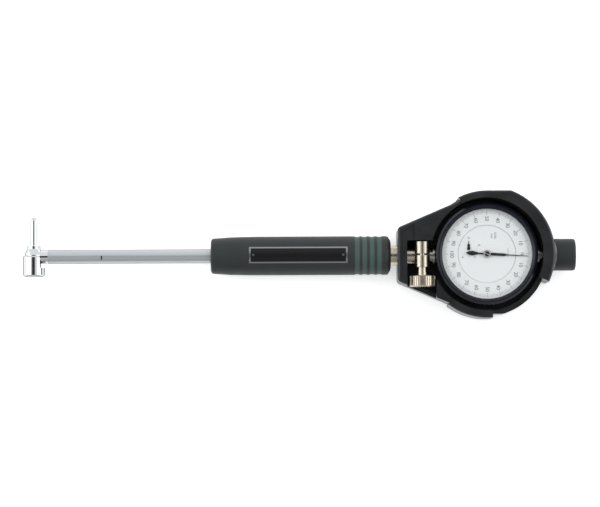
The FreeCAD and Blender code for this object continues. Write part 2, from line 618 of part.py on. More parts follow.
# Anvil: long pin with a ball end, screwed into the dome and held by its nut.
anvil = new_body("anvil", HEAD, "0", "axis_height")
turned(anvil, "Y", [
    ("head_top - anvil_thread", "0"),
    ("head_top - anvil_thread", "anvil_shank"),
    ("head_top", "anvil_shank"),
    ("head_top", "anvil_radius"),
    ("anvil_reach - anvil_radius", "anvil_radius"),
    ("anvil_reach - anvil_radius * 0.617", "anvil_radius * 0.924"),
    ("anvil_reach - anvil_radius * 0.293", "anvil_radius * 0.707"),
    ("anvil_reach - anvil_radius * 0.076", "anvil_radius * 0.383"),
    ("anvil_reach", "0"),
])
anvil_nut = new_body("anvil_nut", HEAD, "0", "axis_height")
turned(anvil_nut, "Y", [
    ("head_top", "anvil_radius + fit"),
    ("head_top", "nut_radius"),
    ("head_top + nut_thick - 0.3", "nut_radius"),
    ("head_top + nut_thick", "nut_radius - 0.3"),
    ("head_top + nut_thick", "anvil_radius + 0.7"),
    ("head_top + nut_thick - 0.7", "anvil_radius + fit"),
])

# ======================================================================== probe
tube = new_body("probe_tube", HEAD, "0", "axis_height")
TUBE_LENGTH = f"({TUBE_END} - {HEAD})"
turned(tube, "X", [
    ("boss_length", "tube_radius - tube_wall"),
    ("boss_length", "tube_radius - 0.15"),
    ("boss_length + 0.15", "tube_radius"),
    (TUBE_LENGTH, "tube_radius"),
    (TUBE_LENGTH, "tube_radius - tube_wall"),
])

bushes = new_body("rod_bushes", HEAD, "0", "axis_height")
first_bush = turned(bushes, "X", [
    ("bush_front", "rod_radius + running_fit"),
    ("bush_front", "tube_radius - tube_wall - fit"),
    ("bush_front + bush_length", "tube_radius - tube_wall - fit"),
    ("bush_front + bush_length", "rod_radius + running_fit"),
])
bushes.AllowCompound = True
repeated(bushes, first_bush, "LinearPattern", "X_Axis", "2", Length="bush_pitch")

# Push rod: from the bell crank to the spindle contact, with a collar for its spring.
rod = new_body("push_rod", HEAD, "0", "axis_height")
ROD_FRONT = "(crank_arm - travel / 2 + crank_pad + touch_gap)"
ROD_BACK = f"({TIP_END} - {HEAD} - touch_gap)"
ROD_COLLAR = f"({TUBE_LENGTH} - rod_spring_length - rod_collar_thick)"
turned(rod, "X", [
    (ROD_FRONT, "0"),
    (ROD_FRONT, "rod_radius - 0.2"),
    (f"{ROD_FRONT} + 0.2", "rod_radius"),
    (ROD_COLLAR, "rod_radius"),
    (ROD_COLLAR, "rod_collar_radius"),
    (f"{ROD_COLLAR} + rod_collar_thick", "rod_collar_radius"),
    (f"{ROD_COLLAR} + rod_collar_thick", "rod_radius"),
    (f"{ROD_BACK} - 0.2", "rod_radius"),
    (ROD_BACK, "rod_radius - 0.2"),
    (ROD_BACK, "0"),
])

# Rod spring: it presses the collar away from the step inside the holder.
rod_spring = new_body("rod_spring", TUBE_END, "0", "axis_height")
spring_wire = circle(new_sketch(rod_spring, "XY"), "-(rod_spring_length - rod_spring_wire)",
                     "rod_spring_radius", "rod_spring_wire")
rod_coil = rod_spring.newObject("PartDesign::AdditiveHelix", "AdditiveHelix")
rod_coil.Profile = spring_wire
rod_coil.ReferenceAxis = (spring_wire, ["H_Axis"])
rod_coil.Mode = "height-turns-growth"
rod_coil.setExpression("Height", bound("rod_spring_length - 2 * rod_spring_wire"))
rod_coil.Turns = 6

# ========================================================================= grip
# Moulded sleeve with a tapered front, a domed tail, ring grooves for the thumb
# and a curved seat for the label plate.
grip = new_body("grip", GRIP_FRONT, "0", "axis_height")
turned(grip, "X", [
    ("0", "tube_radius + fit"),
    ("0", "grip_front_radius - grip_round"),
    ("grip_round * 0.29", "grip_front_radius - grip_round * 0.29"),
    ("grip_round", "grip_front_radius"),
    ("grip_taper * 0.45", "grip_front_radius + (grip_radius - grip_front_radius) * 0.68"),
    ("grip_taper", "grip_radius"),
    ("grip_length - grip_tail - grip_round", "grip_radius"),
    ("grip_length - grip_tail - grip_round * 0.29", "grip_radius - grip_round * 0.29"),
    ("grip_length - grip_tail", "grip_radius - grip_round"),
    ("grip_length - grip_tail * 0.4", "grip_tail_radius + 1.3"),
    ("grip_length", "grip_tail_radius"),
    ("grip_length", "holder_radius + fit"),
    ("grip_length - holder_shank", "holder_radius + fit"),
    ("grip_length - holder_shank", "tube_radius + fit"),
])
SCALLOP = "((scallop_width ^ 2 / 4 + scallop_depth ^ 2) / (2 * scallop_depth))"
scallop_sketch = circle(new_sketch(grip, "XY"),
                        "grip_length - scallop_back - (scallop_count - 1) * scallop_pitch",
                        f"grip_radius + {SCALLOP} - scallop_depth", SCALLOP)
scallop = spin(grip, "Groove", scallop_sketch, "H_Axis")
repeated(grip, scallop, "LinearPattern", "X_Axis", "scallop_count",
         Length="(scallop_count - 1) * scallop_pitch")
PLATE_SPREAD = "2 * asin(plate_width / 2 / grip_radius)"


def plate_section(body, outer):
    """The label plate's section on the grip's upper side, up to an outer radius."""
    sketch = new_sketch(body, "XZ")
    ends = ("plate_front", "(plate_front + plate_length)")
    inner = "(grip_radius + plate_proud - plate_thick)"
    return outline(sketch, [(ends[0], inner), (ends[1], inner), (ends[1], outer), (ends[0], outer)])


spin(grip, "Groove", plate_section(grip, "(grip_radius + 1)"), "H_Axis",
     f"{PLATE_SPREAD} + 0.1 deg", Midplane=True)

plate = new_body("label_plate", GRIP_FRONT, "0", "axis_height")
spin(plate, "Revolution", plate_section(plate, "(grip_radius + plate_proud)"), "H_Axis",
     PLATE_SPREAD, Midplane=True)

# ======================================================================= holder
# Holder: a sleeve that joins tube and grip to the indicator's stem. Its rear end is
# a split collar with two ears that the thumb screw pulls together.
holder = new_body("holder", "0", "0", "axis_height")
COLLAR_FRONT = "(-(clamp_place + ear_radius))"
COLLAR_BACK = "(-(clamp_place - ear_radius))"
turned(holder, "X", [
    (HOLDER_FRONT, "tube_radius + fit"),
    (HOLDER_FRONT, "holder_radius"),
    (COLLAR_FRONT, "holder_radius"),
    (COLLAR_FRONT, "collar_radius"),
    (COLLAR_BACK, "collar_radius"),
    (COLLAR_BACK, "stem_radius + fit"),
    ("-stem_end - hole_gap", "stem_radius + fit"),
    ("-stem_end - hole_gap", "spindle_radius + hole_gap"),
    ("-spindle_front - hole_gap", "spindle_radius + hole_gap"),
    ("-spindle_front - hole_gap", "tip_radius + hole_gap"),
    (f"{TUBE_END} + fit", "tip_radius + hole_gap"),
    (f"{TUBE_END} + fit", "tube_radius + fit"),
])
web = outline(new_sketch(holder, "YZ", COLLAR_FRONT), [
    ("-ear_web", "stem_radius + 1"),
    ("ear_web", "stem_radius + 1"),
    ("ear_web", "ear_rise"),
    ("-ear_web", "ear_rise"),
])
pad(holder, web, "2 * ear_radius")
ears = circle(new_sketch(holder, "XZ"), "-clamp_place", "ear_rise", "ear_radius")
pad(holder, ears, "2 * ear_reach", Midplane=True)
slit = outline(new_sketch(holder, "XY"), [
    (f"{COLLAR_FRONT} - slit_depth", "-slit_width / 2"),
    (f"{COLLAR_BACK} + 1", "-slit_width / 2"),
    (f"{COLLAR_BACK} + 1", "slit_width / 2"),
    (f"{COLLAR_FRONT} - slit_depth", "slit_width / 2"),
])
pocket(holder, slit, "ear_rise + ear_radius + 1", Reversed=True)
screw_bore = circle(new_sketch(holder, "XZ", "ear_reach"), "-clamp_place", "ear_rise",
                    "screw_radius + running_fit")
pocket(holder, screw_bore, "ear_reach + screw_reach + slit_width / 2 + 0.3")

# Thumb screw: knurled head, flared neck and a shank that crosses the slit.
screw = new_body("thumb_screw", "-clamp_place", "0", "axis_height + ear_rise")
HEAD_TOP = "(-(ear_reach + touch_gap + screw_neck))"
HEAD_END = f"({HEAD_TOP} - screw_head_thick)"
turned(screw, "Y", [
    (HEAD_END, "0"),
    (HEAD_END, "screw_head_radius - screw_head_round"),
    (f"{HEAD_END} + screw_head_round", "screw_head_radius"),
    (f"{HEAD_TOP} - screw_head_round", "screw_head_radius"),
    (HEAD_TOP, "screw_head_radius - screw_head_round"),
    (HEAD_TOP, "screw_neck_radius + screw_neck_flare"),
    ("-(ear_reach + touch_gap)", "screw_neck_radius"),
    ("-(ear_reach + touch_gap)", "screw_radius"),
    ("screw_reach", "screw_radius"),
    ("screw_reach", "0"),
])
notch = outline(new_sketch(screw, "XZ", f"-{HEAD_TOP}"), [
    ("screw_head_radius - knurl_depth", "0"),
    ("screw_head_radius + 0.5", "-knurl_depth - 0.35"),
    ("screw_head_radius + 0.5", "knurl_depth + 0.35"),
])
knurl = pocket(screw, notch, "screw_head_thick", Reversed=True)
repeated(screw, knurl, "PolarPattern", "Y_Axis", "knurl_count")

# =================================================================== dial cover
# Moulded shell: a round cup with a tapering nose, two guard walls that stand up
# beside the bezel and a window that lets the fingers reach the thumb screw.
cover = new_body("dial_cover")
pad(cover, circle(new_sketch(cover, "XY"), "0", "0", "shell_radius"), "shell_height")
FLANK_X = "(-nose_tangent * sin(nose_slope))"
FLANK_Y = "(nose_tangent * cos(nose_slope))"


def nose_outline(sketch, wall, start=FLANK_X):
    """The nose's plan: two flanks that touch the round shell and a blunt end."""
    half = f"(nose_half - ({wall}) * (1 / cos(nose_slope) - tan(nose_slope)))"
    root = f"({FLANK_Y} - ({wall}) / cos(nose_slope) + ({FLANK_X} - ({start})) * -tan(nose_slope))"
    return outline(sketch, [
        (start, f"-{root}"),
        (start, root),
        (f"-nose_length + {wall}", half),
        (f"-nose_length + {wall}", f"-{half}"),
    ])


pad(cover, nose_outline(new_sketch(cover, "XY"), "0"), "nose_height")


def guard_wall(outer, start, sweep, height):
    """A wall round part of the shell, with a flange over the gap beside the bezel."""
    section = outline(new_sketch(cover, "XZ", turn=start), [
        ("shell_radius - 1", "0"),
        (outer, "0"),
        (outer, height),
        ("shell_bore", height),
        ("shell_bore", f"{height} - guard_flange"),
        ("shell_radius - 1", f"{height} - guard_flange"),
    ])
    spin(cover, "Revolution", section, "V_Axis", sweep)


guard_wall("guard_radius", "guard_start", "90 - guard_start", "guard_height")
guard_wall("guard_side_radius", "90", "guard_side_sweep", "guard_height")
guard_wall("small_guard_radius", "small_guard_start", "small_guard_sweep", "small_guard_height")
cap_boss = circle(new_sketch(cover, "YZ", "guard_radius - 3"), "0", "axis_height", "cap_radius")
pad(cover, cap_boss, "3")
flat_cut = outline(new_sketch(cover, "XY"), [
    ("0", "guard_side_radius"),
    ("guard_radius", "guard_side_radius"),
    ("guard_radius", "guard_radius + 2"),
    ("0", "guard_radius + 2"),
])
pocket(cover, flat_cut, "guard_height + 1", Reversed=True)
low_cut = outline(new_sketch(cover, "XY"), [
    ("small_guard_radius * cos(small_guard_start + small_guard_sweep) + 0.1", "-shell_flat"),
    ("guard_radius", "-shell_flat"),
    ("guard_radius", "-guard_radius - 2"),
    ("small_guard_radius * cos(small_guard_start + small_guard_sweep) + 0.1", "-guard_radius - 2"),
])
pocket(cover, low_cut, "guard_height + 1", Reversed=True)
cup = circle(new_sketch(cover, "XY", "cover_floor"), "0", "0", "shell_bore")
pocket(cover, cup, "guard_height", Reversed=True)
hollow = nose_outline(new_sketch(cover, "XY", "cover_floor"), "nose_wall", "(-shell_bore / 2)")
pocket(cover, hollow, "nose_height - cover_floor - nose_wall", Reversed=True)
panel = outline(new_sketch(cover, "XY", "nose_height - recess_depth"), [
    ("-nose_length + recess_rim", "nose_half - recess_rim"),
    ("-nose_length + recess_rim", "-(nose_half - recess_rim)"),
    ("-recess_back", "-(nose_half - recess_rim)"),
    ("-recess_back", "nose_half - recess_rim + (nose_length - recess_back) * tan(nose_slope)"),
])
pocket(cover, panel, "recess_depth + 1", Reversed=True)
window = outline(new_sketch(cover, "XY", "lip_height"), [
    ("-window_front", "window_top"),
    ("-window_front", "-guard_radius"),
    ("-window_back", "-guard_radius"),
    ("-window_back", "window_top"),
])
pocket(cover, window, "nose_height", Reversed=True)
neck_hole = circle(new_sketch(cover, "YZ", "-nose_length - 1"), "0", "axis_height",
                   "holder_radius + hole_gap")
pocket(cover, neck_hole, "nose_wall + 2", Reversed=True)
cap_hole = circle(new_sketch(cover, "YZ", "shell_bore - 3"), "0", "axis_height",
                  "bush_radius + hole_gap")
pocket(cover, cap_hole, "guard_radius", Reversed=True)
screw_holes = new_sketch(cover, "XY")
circle(screw_holes, "post_circle * cos(45)", "post_circle * sin(45)",
       "cover_screw_radius + hole_gap / 2")
screw_hole = pocket(cover, screw_holes, "cover_floor + 1", Reversed=True)
repeated(cover, screw_hole, "PolarPattern", "Z_Axis", "4")
head_holes = new_sketch(cover, "XY")
circle(head_holes, "post_circle * cos(45)", "post_circle * sin(45)",
       "cover_screw_head + hole_gap / 2")
head_hole = pocket(cover, head_holes, "cover_screw_sink + cover_screw_head_thick", Reversed=True)
repeated(cover, head_hole, "PolarPattern", "Z_Axis", "4")


def nose_corner(edge):
    """The two upright edges at the nose's blunt end."""
    box = edge.BoundBox
    at_end = near(box.XMin, -value("nose_length")) and near(box.XMax, box.XMin)
    return at_end and near(box.YMin, box.YMax) and box.ZLength > value("nose_height") * 0.9


round_edges(cover, "Fillet", "nose_corner", nose_corner)


def outer_rim(edge):
    """Edges on top of the nose and of the guards, along the cover's outer walls."""
    box = edge.BoundBox
    if box.ZLength > 1e-4 or edge.Length < value("edge_round"):
        return False
    middle = edge.valueAt((edge.FirstParameter + edge.LastParameter) / 2)
    out = math.hypot(middle.x, middle.y)
    if near(box.ZMax, value("guard_height")):
        return out > value("guard_side_radius") - 0.05
    if near(box.ZMax, value("small_guard_height")):
        return near(out, value("small_guard_radius"))
    if near(box.ZMax, value("nose_height")) and middle.x < value(FLANK_X) - 3:
        slope = value("tan(nose_slope)")
        flank = value("nose_half") + (middle.x + value("nose_length")) * slope
        at_corner = middle.x < -value("nose_length") + value("nose_corner") / 2
        return at_corner or abs(abs(middle.y) - flank) < 0.01
    return False


round_edges(cover, "Fillet", "edge_round", outer_rim)

# Cover screws: four, through the cover's floor and the case back into the case.
cover_screws = new_body("cover_screws")
cover_screws.AllowCompound = True
screw_head = circle(new_sketch(cover_screws, "XY", "cover_screw_sink"),
                    "post_circle * cos(45)", "post_circle * sin(45)", "cover_screw_head")
screw_head_pad = pad(cover_screws, screw_head, "cover_screw_head_thick")
screw_shank = circle(new_sketch(cover_screws, "XY", "cover_screw_sink"),
                     "post_circle * cos(45)", "post_circle * sin(45)", "cover_screw_radius")
screw_shank_pad = pad(cover_screws, screw_shank, "post_height - 2")
doc.recompute()
four = repeated(cover_screws, screw_head_pad, "PolarPattern", "Z_Axis", "4")
four.Originals = [screw_head_pad, screw_shank_pad]

# ====================================================================== end cap
cap_ring = new_body("cap_ring", "guard_radius", "0", "axis_height")
turned(cap_ring, "X", [
    ("0", "bush_radius + hole_gap"),
    ("0", "ring_radius"),
    ("ring_thick - 0.2", "ring_radius"),
    ("ring_thick", "ring_radius - 0.2"),
    ("ring_thick", "bush_radius + hole_gap"),
])
end_cap = new_body("end_cap", "guard_radius", "0", "axis_height")
turned(end_cap, "X", [
    ("0", "ring_radius + fit"),
    ("0", "cap_radius"),
    ("cap_length - cap_round", "cap_radius"),
    ("cap_length - cap_round * 0.29", "cap_radius - cap_round * 0.29"),
    ("cap_length", "cap_radius - cap_round"),
    ("cap_length", "0"),
    ("cap_length - cap_wall", "0"),
    ("cap_length - cap_wall", "bush_radius + fit"),
    ("ring_thick", "bush_radius + fit"),
    ("ring_thick", "ring_radius + fit"),
])
SADDLE = "((cap_radius ^ 2 + cap_saddle ^ 2) / (2 * cap_saddle))"
saddle_cut = circle(new_sketch(end_cap, "XY"), f"cap_saddle - {SADDLE}", "0", SADDLE)
pocket(end_cap, saddle_cut, Midplane=True)

# =================================================================== indicator
# Case: a cup open at the back, with a plate under the dial, a spigot for the
# bezel, bosses for stem and bush, and posts for the cover screws.
case = new_body("indicator_case")
CASE_LOW = "(cover_floor + back_thick)"
turned(case, "Z", [
    (CASE_LOW, "0"),
    (CASE_LOW, "case_radius"),
    ("case_shoulder", "case_radius"),
    ("case_shoulder", "case_spigot"),
    ("case_top", "case_spigot"),
    ("case_top", "0"),
])
pad(case, circle(new_sketch(case, "YZ"), "0", "axis_height", "case_boss"),
    "2 * case_boss_reach", Midplane=True)
low_room = circle(new_sketch(case, "XY", "0"), "0", "0", "case_radius - case_wall")
pocket(case, low_room, "plate_low + movement_plate_thick", Reversed=True)
high_room = circle(new_sketch(case, "XY", "plate_low"), "0", "0",
                   "case_spigot - case_wall")
pocket(case, high_room, "case_top - case_plate - plate_low", Reversed=True)
post_sketch = circle(new_sketch(case, "XY", CASE_LOW), "post_circle * cos(45)",
                     "post_circle * sin(45)", "post_radius")
post = pad(case, post_sketch, f"post_height - {CASE_LOW}")
repeated(case, post, "PolarPattern", "Z_Axis", "4")
post_hole_sketch = circle(new_sketch(case, "XY", CASE_LOW), "post_circle * cos(45)",
                          "post_circle * sin(45)", "cover_screw_radius + fit")
post_hole = pocket(case, post_hole_sketch, f"post_height - {CASE_LOW} - 1", Reversed=True)
repeated(case, post_hole, "PolarPattern", "Z_Axis", "4")
stem_hole = circle(new_sketch(case, "YZ", "-case_boss_reach"), "0", "axis_height",
                   "stem_radius + fit")
pocket(case, stem_hole, "case_boss_reach - 10", Reversed=True)
bush_hole = circle(new_sketch(case, "YZ", "10"), "0", "axis_height", "bush_radius + fit")
pocket(case, bush_hole, "case_boss_reach", Reversed=True)
arbor_holes = new_sketch(case, "XY", "case_top - case_plate - 0.5")
circle(arbor_holes, "0", "0", "arbor_radius + hole_gap")
circle(arbor_holes, "-counter_x", "counter_y", "arbor_radius + hole_gap")
pocket(case, arbor_holes, "case_plate + 1", Reversed=True)

case_back = new_body("case_back", "0", "0", "cover_floor")
turned(case_back, "Z", [
    ("0", "0"),
    ("0", "case_radius"),
    ("back_thick", "case_radius"),
    ("back_thick", "case_radius - case_wall - hole_gap"),
    ("back_thick + back_lip", "case_radius - case_wall - hole_gap"),
    ("back_thick + back_lip", "case_radius - case_wall - 1.5"),
    ("back_thick", "case_radius - case_wall - 1.5"),
    ("back_thick", "0"),
])
back_hole_sketch = circle(new_sketch(case_back, "XY"), "post_circle * cos(45)",
                          "post_circle * sin(45)", "cover_screw_radius + hole_gap / 2")
back_hole = pocket(case_back, back_hole_sketch, "back_thick + back_lip + 1", Reversed=True)
repeated(case_back, back_hole, "PolarPattern", "Z_Axis", "4")
lip_gap_sketch = circle(new_sketch(case_back, "XY", "back_thick"), "post_circle * cos(45)",
                        "post_circle * sin(45)", "post_radius + hole_gap")
lip_gap = pocket(case_back, lip_gap_sketch, "back_lip + 1", Reversed=True)
repeated(case_back, lip_gap, "PolarPattern", "Z_Axis", "4")

stem = new_body("stem", "0", "0", "axis_height")
turned(stem, "X", [
    ("-stem_end", "spindle_radius + running_fit"),
    ("-stem_end", "stem_radius - 0.3"),
    ("-stem_end + 0.3", "stem_radius"),
    ("-case_boss_reach - flange_thick", "stem_radius"),
    ("-case_boss_reach - flange_thick", "flange_radius"),
    ("-case_boss_reach", "flange_radius"),
    ("-case_boss_reach", "stem_radius"),
    ("-case_radius + case_wall - hole_gap", "stem_radius"),
    ("-case_radius + case_wall - hole_gap", "spindle_radius + running_fit"),
])
upper_bush = new_body("upper_bush", "0", "0", "axis_height")
turned(upper_bush, "X", [
    ("case_radius - case_wall + hole_gap", "spindle_radius + running_fit"),
    ("case_radius - case_wall + hole_gap", "bush_radius"),
    ("case_boss_reach", "bush_radius"),
    ("case_boss_reach", "flange_radius"),
    ("case_boss_reach + flange_thick", "flange_radius"),
    ("case_boss_reach + flange_thick", "bush_radius"),
    ("bush_end", "bush_radius"),
    ("bush_end", "spindle_radius + running_fit"),
])

# Spindle with a flat for its rack, and its screwed contact.
spindle = new_body("spindle", "0", "0", "axis_height")
turned(spindle, "X", [
    ("-spindle_front", "tip_shank + fit"),
    ("-spindle_front", "spindle_radius"),
    ("spindle_back", "spindle_radius"),
    ("spindle_back", "0"),
    ("-spindle_front + tip_shank_length", "0"),
    ("-spindle_front + tip_shank_length", "tip_shank + fit"),
])
PINION = "(rack_turn / 2 / pi)"
FIRST_WHEEL = "(gear_module * first_wheel_teeth / 2)"
SECOND_PINION = "(gear_module * second_pinion_teeth / 2)"
SECOND_WHEEL = "(gear_module * second_wheel_teeth / 2)"
CENTRE_PINION = "(gear_module * centre_pinion_teeth / 2)"
PINION_Y = f"(rack_line + {PINION})"
SECOND_Y = f"({SECOND_WHEEL} + {CENTRE_PINION})"
PINION_X = f"sqrt(({FIRST_WHEEL} + {SECOND_PINION}) ^ 2 - ({SECOND_Y} - {PINION_Y}) ^ 2)"
rack = outline(new_sketch(spindle, "XY"), [
    (f"-{PINION_X} - rack_back - travel", "-rack_line"),
    (f"-{PINION_X} + rack_back", "-rack_line"),
    (f"-{PINION_X} + rack_back", "-spindle_radius - 1"),
    (f"-{PINION_X} - rack_back - travel", "-spindle_radius - 1"),
])
pocket(spindle, rack, Midplane=True)
tip = new_body("spindle_contact", "-spindle_front", "0", "axis_height")
turned(tip, "X", [
    ("-tip_length", "0"),
    ("-tip_length + tip_radius * 0.076", "tip_radius * 0.383"),
    ("-tip_length + tip_radius * 0.293", "tip_radius * 0.707"),
    ("-tip_length + tip_radius * 0.617", "tip_radius * 0.924"),
    ("-tip_length + tip_radius", "tip_radius"),
    ("0", "tip_radius"),
    ("0", "tip_shank"),
    ("tip_shank_length - 0.2", "tip_shank"),
    ("tip_shank_length - 0.2", "0"),
])

# ===================================================================== movement
# Two plates carry the arbors. The wheels are blanks cut to their pitch circles.
movement = new_body("movement_plate", "0", "0", "plate_low")
pad(movement, circle(new_sketch(movement, "XY"), "0", "0", "case_radius - case_wall - fit"),
    "movement_plate_thick")


def arbor_bores(body, centres):
    sketch = new_sketch(body, "XY")
    for across, up in centres:
        circle(sketch, across, up, "arbor_radius + running_fit")
    pocket(body, sketch, "movement_plate_thick + bridge_thick", Reversed=True)


FIRST = (f"-{PINION_X}", f"-{PINION_Y}")
SECOND = ("0", f"-{SECOND_Y}")
CENTRE = ("0", "0")
COUNTER = ("-counter_x", "counter_y")
arbor_bores(movement, [FIRST, SECOND, CENTRE])

bridge = new_body("bridge", "0", "0", "bridge_low")
pad(bridge, circle(new_sketch(bridge, "XY"), "0", "0", "bridge_radius"), "bridge_thick")
pillar_sketch = circle(new_sketch(bridge, "XY"), "pillar_circle * cos(pillar_angle)",
                       "pillar_circle * sin(pillar_angle)", "pillar_radius")
pillar = pad(bridge, pillar_sketch, "bridge_low - plate_low - movement_plate_thick", Reversed=True)
repeated(bridge, pillar, "PolarPattern", "Z_Axis", "3")
arbor_bores(bridge, [FIRST, SECOND, CENTRE, COUNTER])

FLOOR = "(plate_low + movement_plate_thick)"
ROOF = "(bridge_low + bridge_thick)"


def arbor(label, centre, low, high, discs):
    """An arbor with its wheels and pinions: (radius, from, to) in heights."""
    body = new_body(label, centre[0], centre[1], "0")
    shaft = circle(new_sketch(body, "XY", low), "0", "0", "arbor_radius")
    pad(body, shaft, f"({high}) - ({low})")
    for radius, start, end in discs:
        disc = circle(new_sketch(body, "XY", start), "0", "0", f"{radius} - mesh_gap")
        pad(body, disc, f"({end}) - ({start})")
    return body


first_arbor = arbor("rack_pinion", FIRST, "axis_height - spindle_radius", ROOF, [
    (PINION, "axis_height - spindle_radius", "plate_low - hole_gap"),
    (FIRST_WHEEL, f"{FLOOR} + 0.5", f"{FLOOR} + 0.9"),
])
second_arbor = arbor("intermediate_arbor", SECOND, "plate_low + 0.1", ROOF, [
    (SECOND_PINION, f"{FLOOR} + 0.3", f"{FLOOR} + 1.1"),
    (SECOND_WHEEL, f"{FLOOR} + 1.8", f"{FLOOR} + 2.2"),
])
COUNTER_SPAN = "sqrt(counter_x ^ 2 + counter_y ^ 2)"
COUNTER_PINION = f"({COUNTER_SPAN} / (counter_ratio + 1))"
DIAL_FACE = "(case_top + dial_thick)"
HAND_LOW = f"({DIAL_FACE} + hand_rise)"
centre_arbor = arbor("centre_arbor", CENTRE, "plate_low + 0.1", HAND_LOW, [
    (CENTRE_PINION, f"{FLOOR} + 1.6", f"{FLOOR} + 2.4"),
    (COUNTER_PINION, f"{ROOF} + 0.2", f"{ROOF} + 1.0"),
])
counter_arbor = arbor("counter_arbor", COUNTER, "bridge_low + 0.1",
                      f"{DIAL_FACE} + counter_hand_rise", [
    (f"{COUNTER_PINION} * counter_ratio", f"{ROOF} + 0.4", f"{ROOF} + 0.8"),
])

# ================================================================ dial and hands
inner_dial = new_body("inner_dial", "0", "0", "case_top")
pad(inner_dial, circle(new_sketch(inner_dial, "XY"), "0", "0", "dial_inner"), "dial_thick")
flange = circle(new_sketch(inner_dial, "XY"), "0", "0", "dial_inner + dial_flange")
pad(inner_dial, flange, "dial_gap / 2")
dial_holes = new_sketch(inner_dial, "XY")
circle(dial_holes, "0", "0", "arbor_radius + hole_gap")
circle(dial_holes, "-counter_x", "counter_y", "arbor_radius + hole_gap")
pocket(inner_dial, dial_holes, "dial_thick + 1", Reversed=True)

dial_ring = new_body("dial_ring", "0", "0", "ring_low")
turned(dial_ring, "Z", [
    ("0", "dial_inner + dial_gap"),
    ("0", "bezel_seat - fit"),
    ("dial_thick", "bezel_seat - fit"),
    ("dial_thick", "dial_inner + dial_gap"),
])

main_hand = new_body("main_hand", "0", "0", HAND_LOW)
blade = outline(new_sketch(main_hand, "XY"), [
    ("-hand_tail", "0"),
    ("-hand_tail * 0.86", "-hand_spade_half * 0.75"),
    ("-hand_tail * 0.68", "-hand_spade_half"),
    ("-hand_tail * 0.4", "-hand_half_width * 0.6"),
    ("0", "-hand_half_width * 0.6"),
    ("hand_hub", "-hand_half_width"),
    ("hand_length * 0.42", "-hand_half_width"),
    ("hand_length * 0.5", "-hand_tip_half_width * 1.6"),
    ("hand_length", "-hand_tip_half_width"),
    ("hand_length", "hand_tip_half_width"),
    ("hand_length * 0.5", "hand_tip_half_width * 1.6"),
    ("hand_length * 0.42", "hand_half_width"),
    ("hand_hub", "hand_half_width"),
    ("0", "hand_half_width * 0.6"),
    ("-hand_tail * 0.4", "hand_half_width * 0.6"),
    ("-hand_tail * 0.68", "hand_spade_half"),
    ("-hand_tail * 0.86", "hand_spade_half * 0.75"),
])
pad(main_hand, blade, "hand_thick")
pad(main_hand, circle(new_sketch(main_hand, "XY"), "0", "0", "hand_hub"), "hand_thick * 2.2")
main_hand.Placement = Placement(Vector(0, 0, value(HAND_LOW)),
                                Rotation(Vector(0, 0, 1), value("hand_angle")))
main_hand.setExpression("Placement.Rotation.Angle", bound("hand_angle"))

counter_hand = new_body("counter_hand", COUNTER[0], COUNTER[1],
                        f"{DIAL_FACE} + counter_hand_rise")
needle = outline(new_sketch(counter_hand, "XY"), [
    ("-hand_tip_half_width * 2.5", "0"),
    ("hand_tip_half_width * 2.5", "0"),
    ("counter_spade_half", "counter_spade"),
    ("hand_tip_half_width", "counter_spade * 1.45"),
    ("hand_tip_half_width", "counter_hand_length"),
    ("-hand_tip_half_width", "counter_hand_length"),
    ("-hand_tip_half_width", "counter_spade * 1.45"),
    ("-counter_spade_half", "counter_spade"),
])
pad(counter_hand, needle, "hand_thick * 0.8")
pad(counter_hand, circle(new_sketch(counter_hand, "XY"), "0", "0", "hand_hub * 0.45"),
    "hand_thick * 1.4")

# ============================================================ bezel and crystal
bezel = new_body("bezel")
BEZEL_LOW = "(case_shoulder + bezel_gap)"
turned(bezel, "Z", [
    (BEZEL_LOW, "case_spigot + running_fit"),
    (BEZEL_LOW, "bezel_radius - 0.3"),
    (f"{BEZEL_LOW} + 0.3", "bezel_radius"),
    ("bezel_top - bezel_chamfer", "bezel_radius"),
    ("bezel_top", "bezel_radius - bezel_chamfer"),
    ("bezel_top", "bezel_land"),
    ("bezel_lip + 0.3", "bezel_opening"),
    ("bezel_lip", "bezel_opening"),
    ("bezel_lip", "bezel_seat"),
    ("ring_low", "bezel_seat"),
    ("ring_low", "case_spigot + running_fit"),
])
flute_sketch = circle(new_sketch(bezel, "XY", f"{BEZEL_LOW} - 0.5"),
                      "bezel_radius + flute_radius - flute_depth", "0", "flute_radius")
flute = pocket(bezel, flute_sketch, f"bezel_top - bezel_chamfer - {BEZEL_LOW} - 0.6",
               Reversed=True)
repeated(bezel, flute, "PolarPattern", "Z_Axis", "flute_count")

crystal = new_body("crystal")
turned(crystal, "Z", [
    ("bezel_lip - crystal_thick", "0"),
    ("bezel_lip - crystal_thick", "bezel_opening + 0.1"),
    ("ring_low + dial_thick", "bezel_opening + 0.1"),
    ("ring_low + dial_thick", "bezel_seat - fit"),
    ("bezel_lip", "bezel_seat - fit"),
    ("bezel_lip", "0"),
])

# ====================================================== check, then write STEP
doc.recompute()
bodies = [thing for thing in doc.Objects if thing.TypeId == "PartDesign::Body"]
faults = []
for thing in doc.Objects:
    if "Invalid" in thing.State or "Error" in thing.State:
        owner = thing.getParentGeoFeatureGroup()
        faults.append(f"{owner.Label if owner else ''}.{thing.Name}: {thing.getStatusString()}")
for body in bodies:
    if body.Shape.isNull() or not body.Shape.isValid() or not body.Shape.Solids:
        faults.append(f"{body.Label} has no valid solid")
cuts = ("PartDesign::Pocket", "PartDesign::Groove")
for cut in [thing for thing in doc.Objects if thing.TypeId in cuts]:
    if cut.BaseFeature.Shape.Volume - cut.Shape.Volume < 1e-3:
        faults.append(f"{cut.Name} cuts nothing")
if faults:
    raise RuntimeError("; ".join(faults))

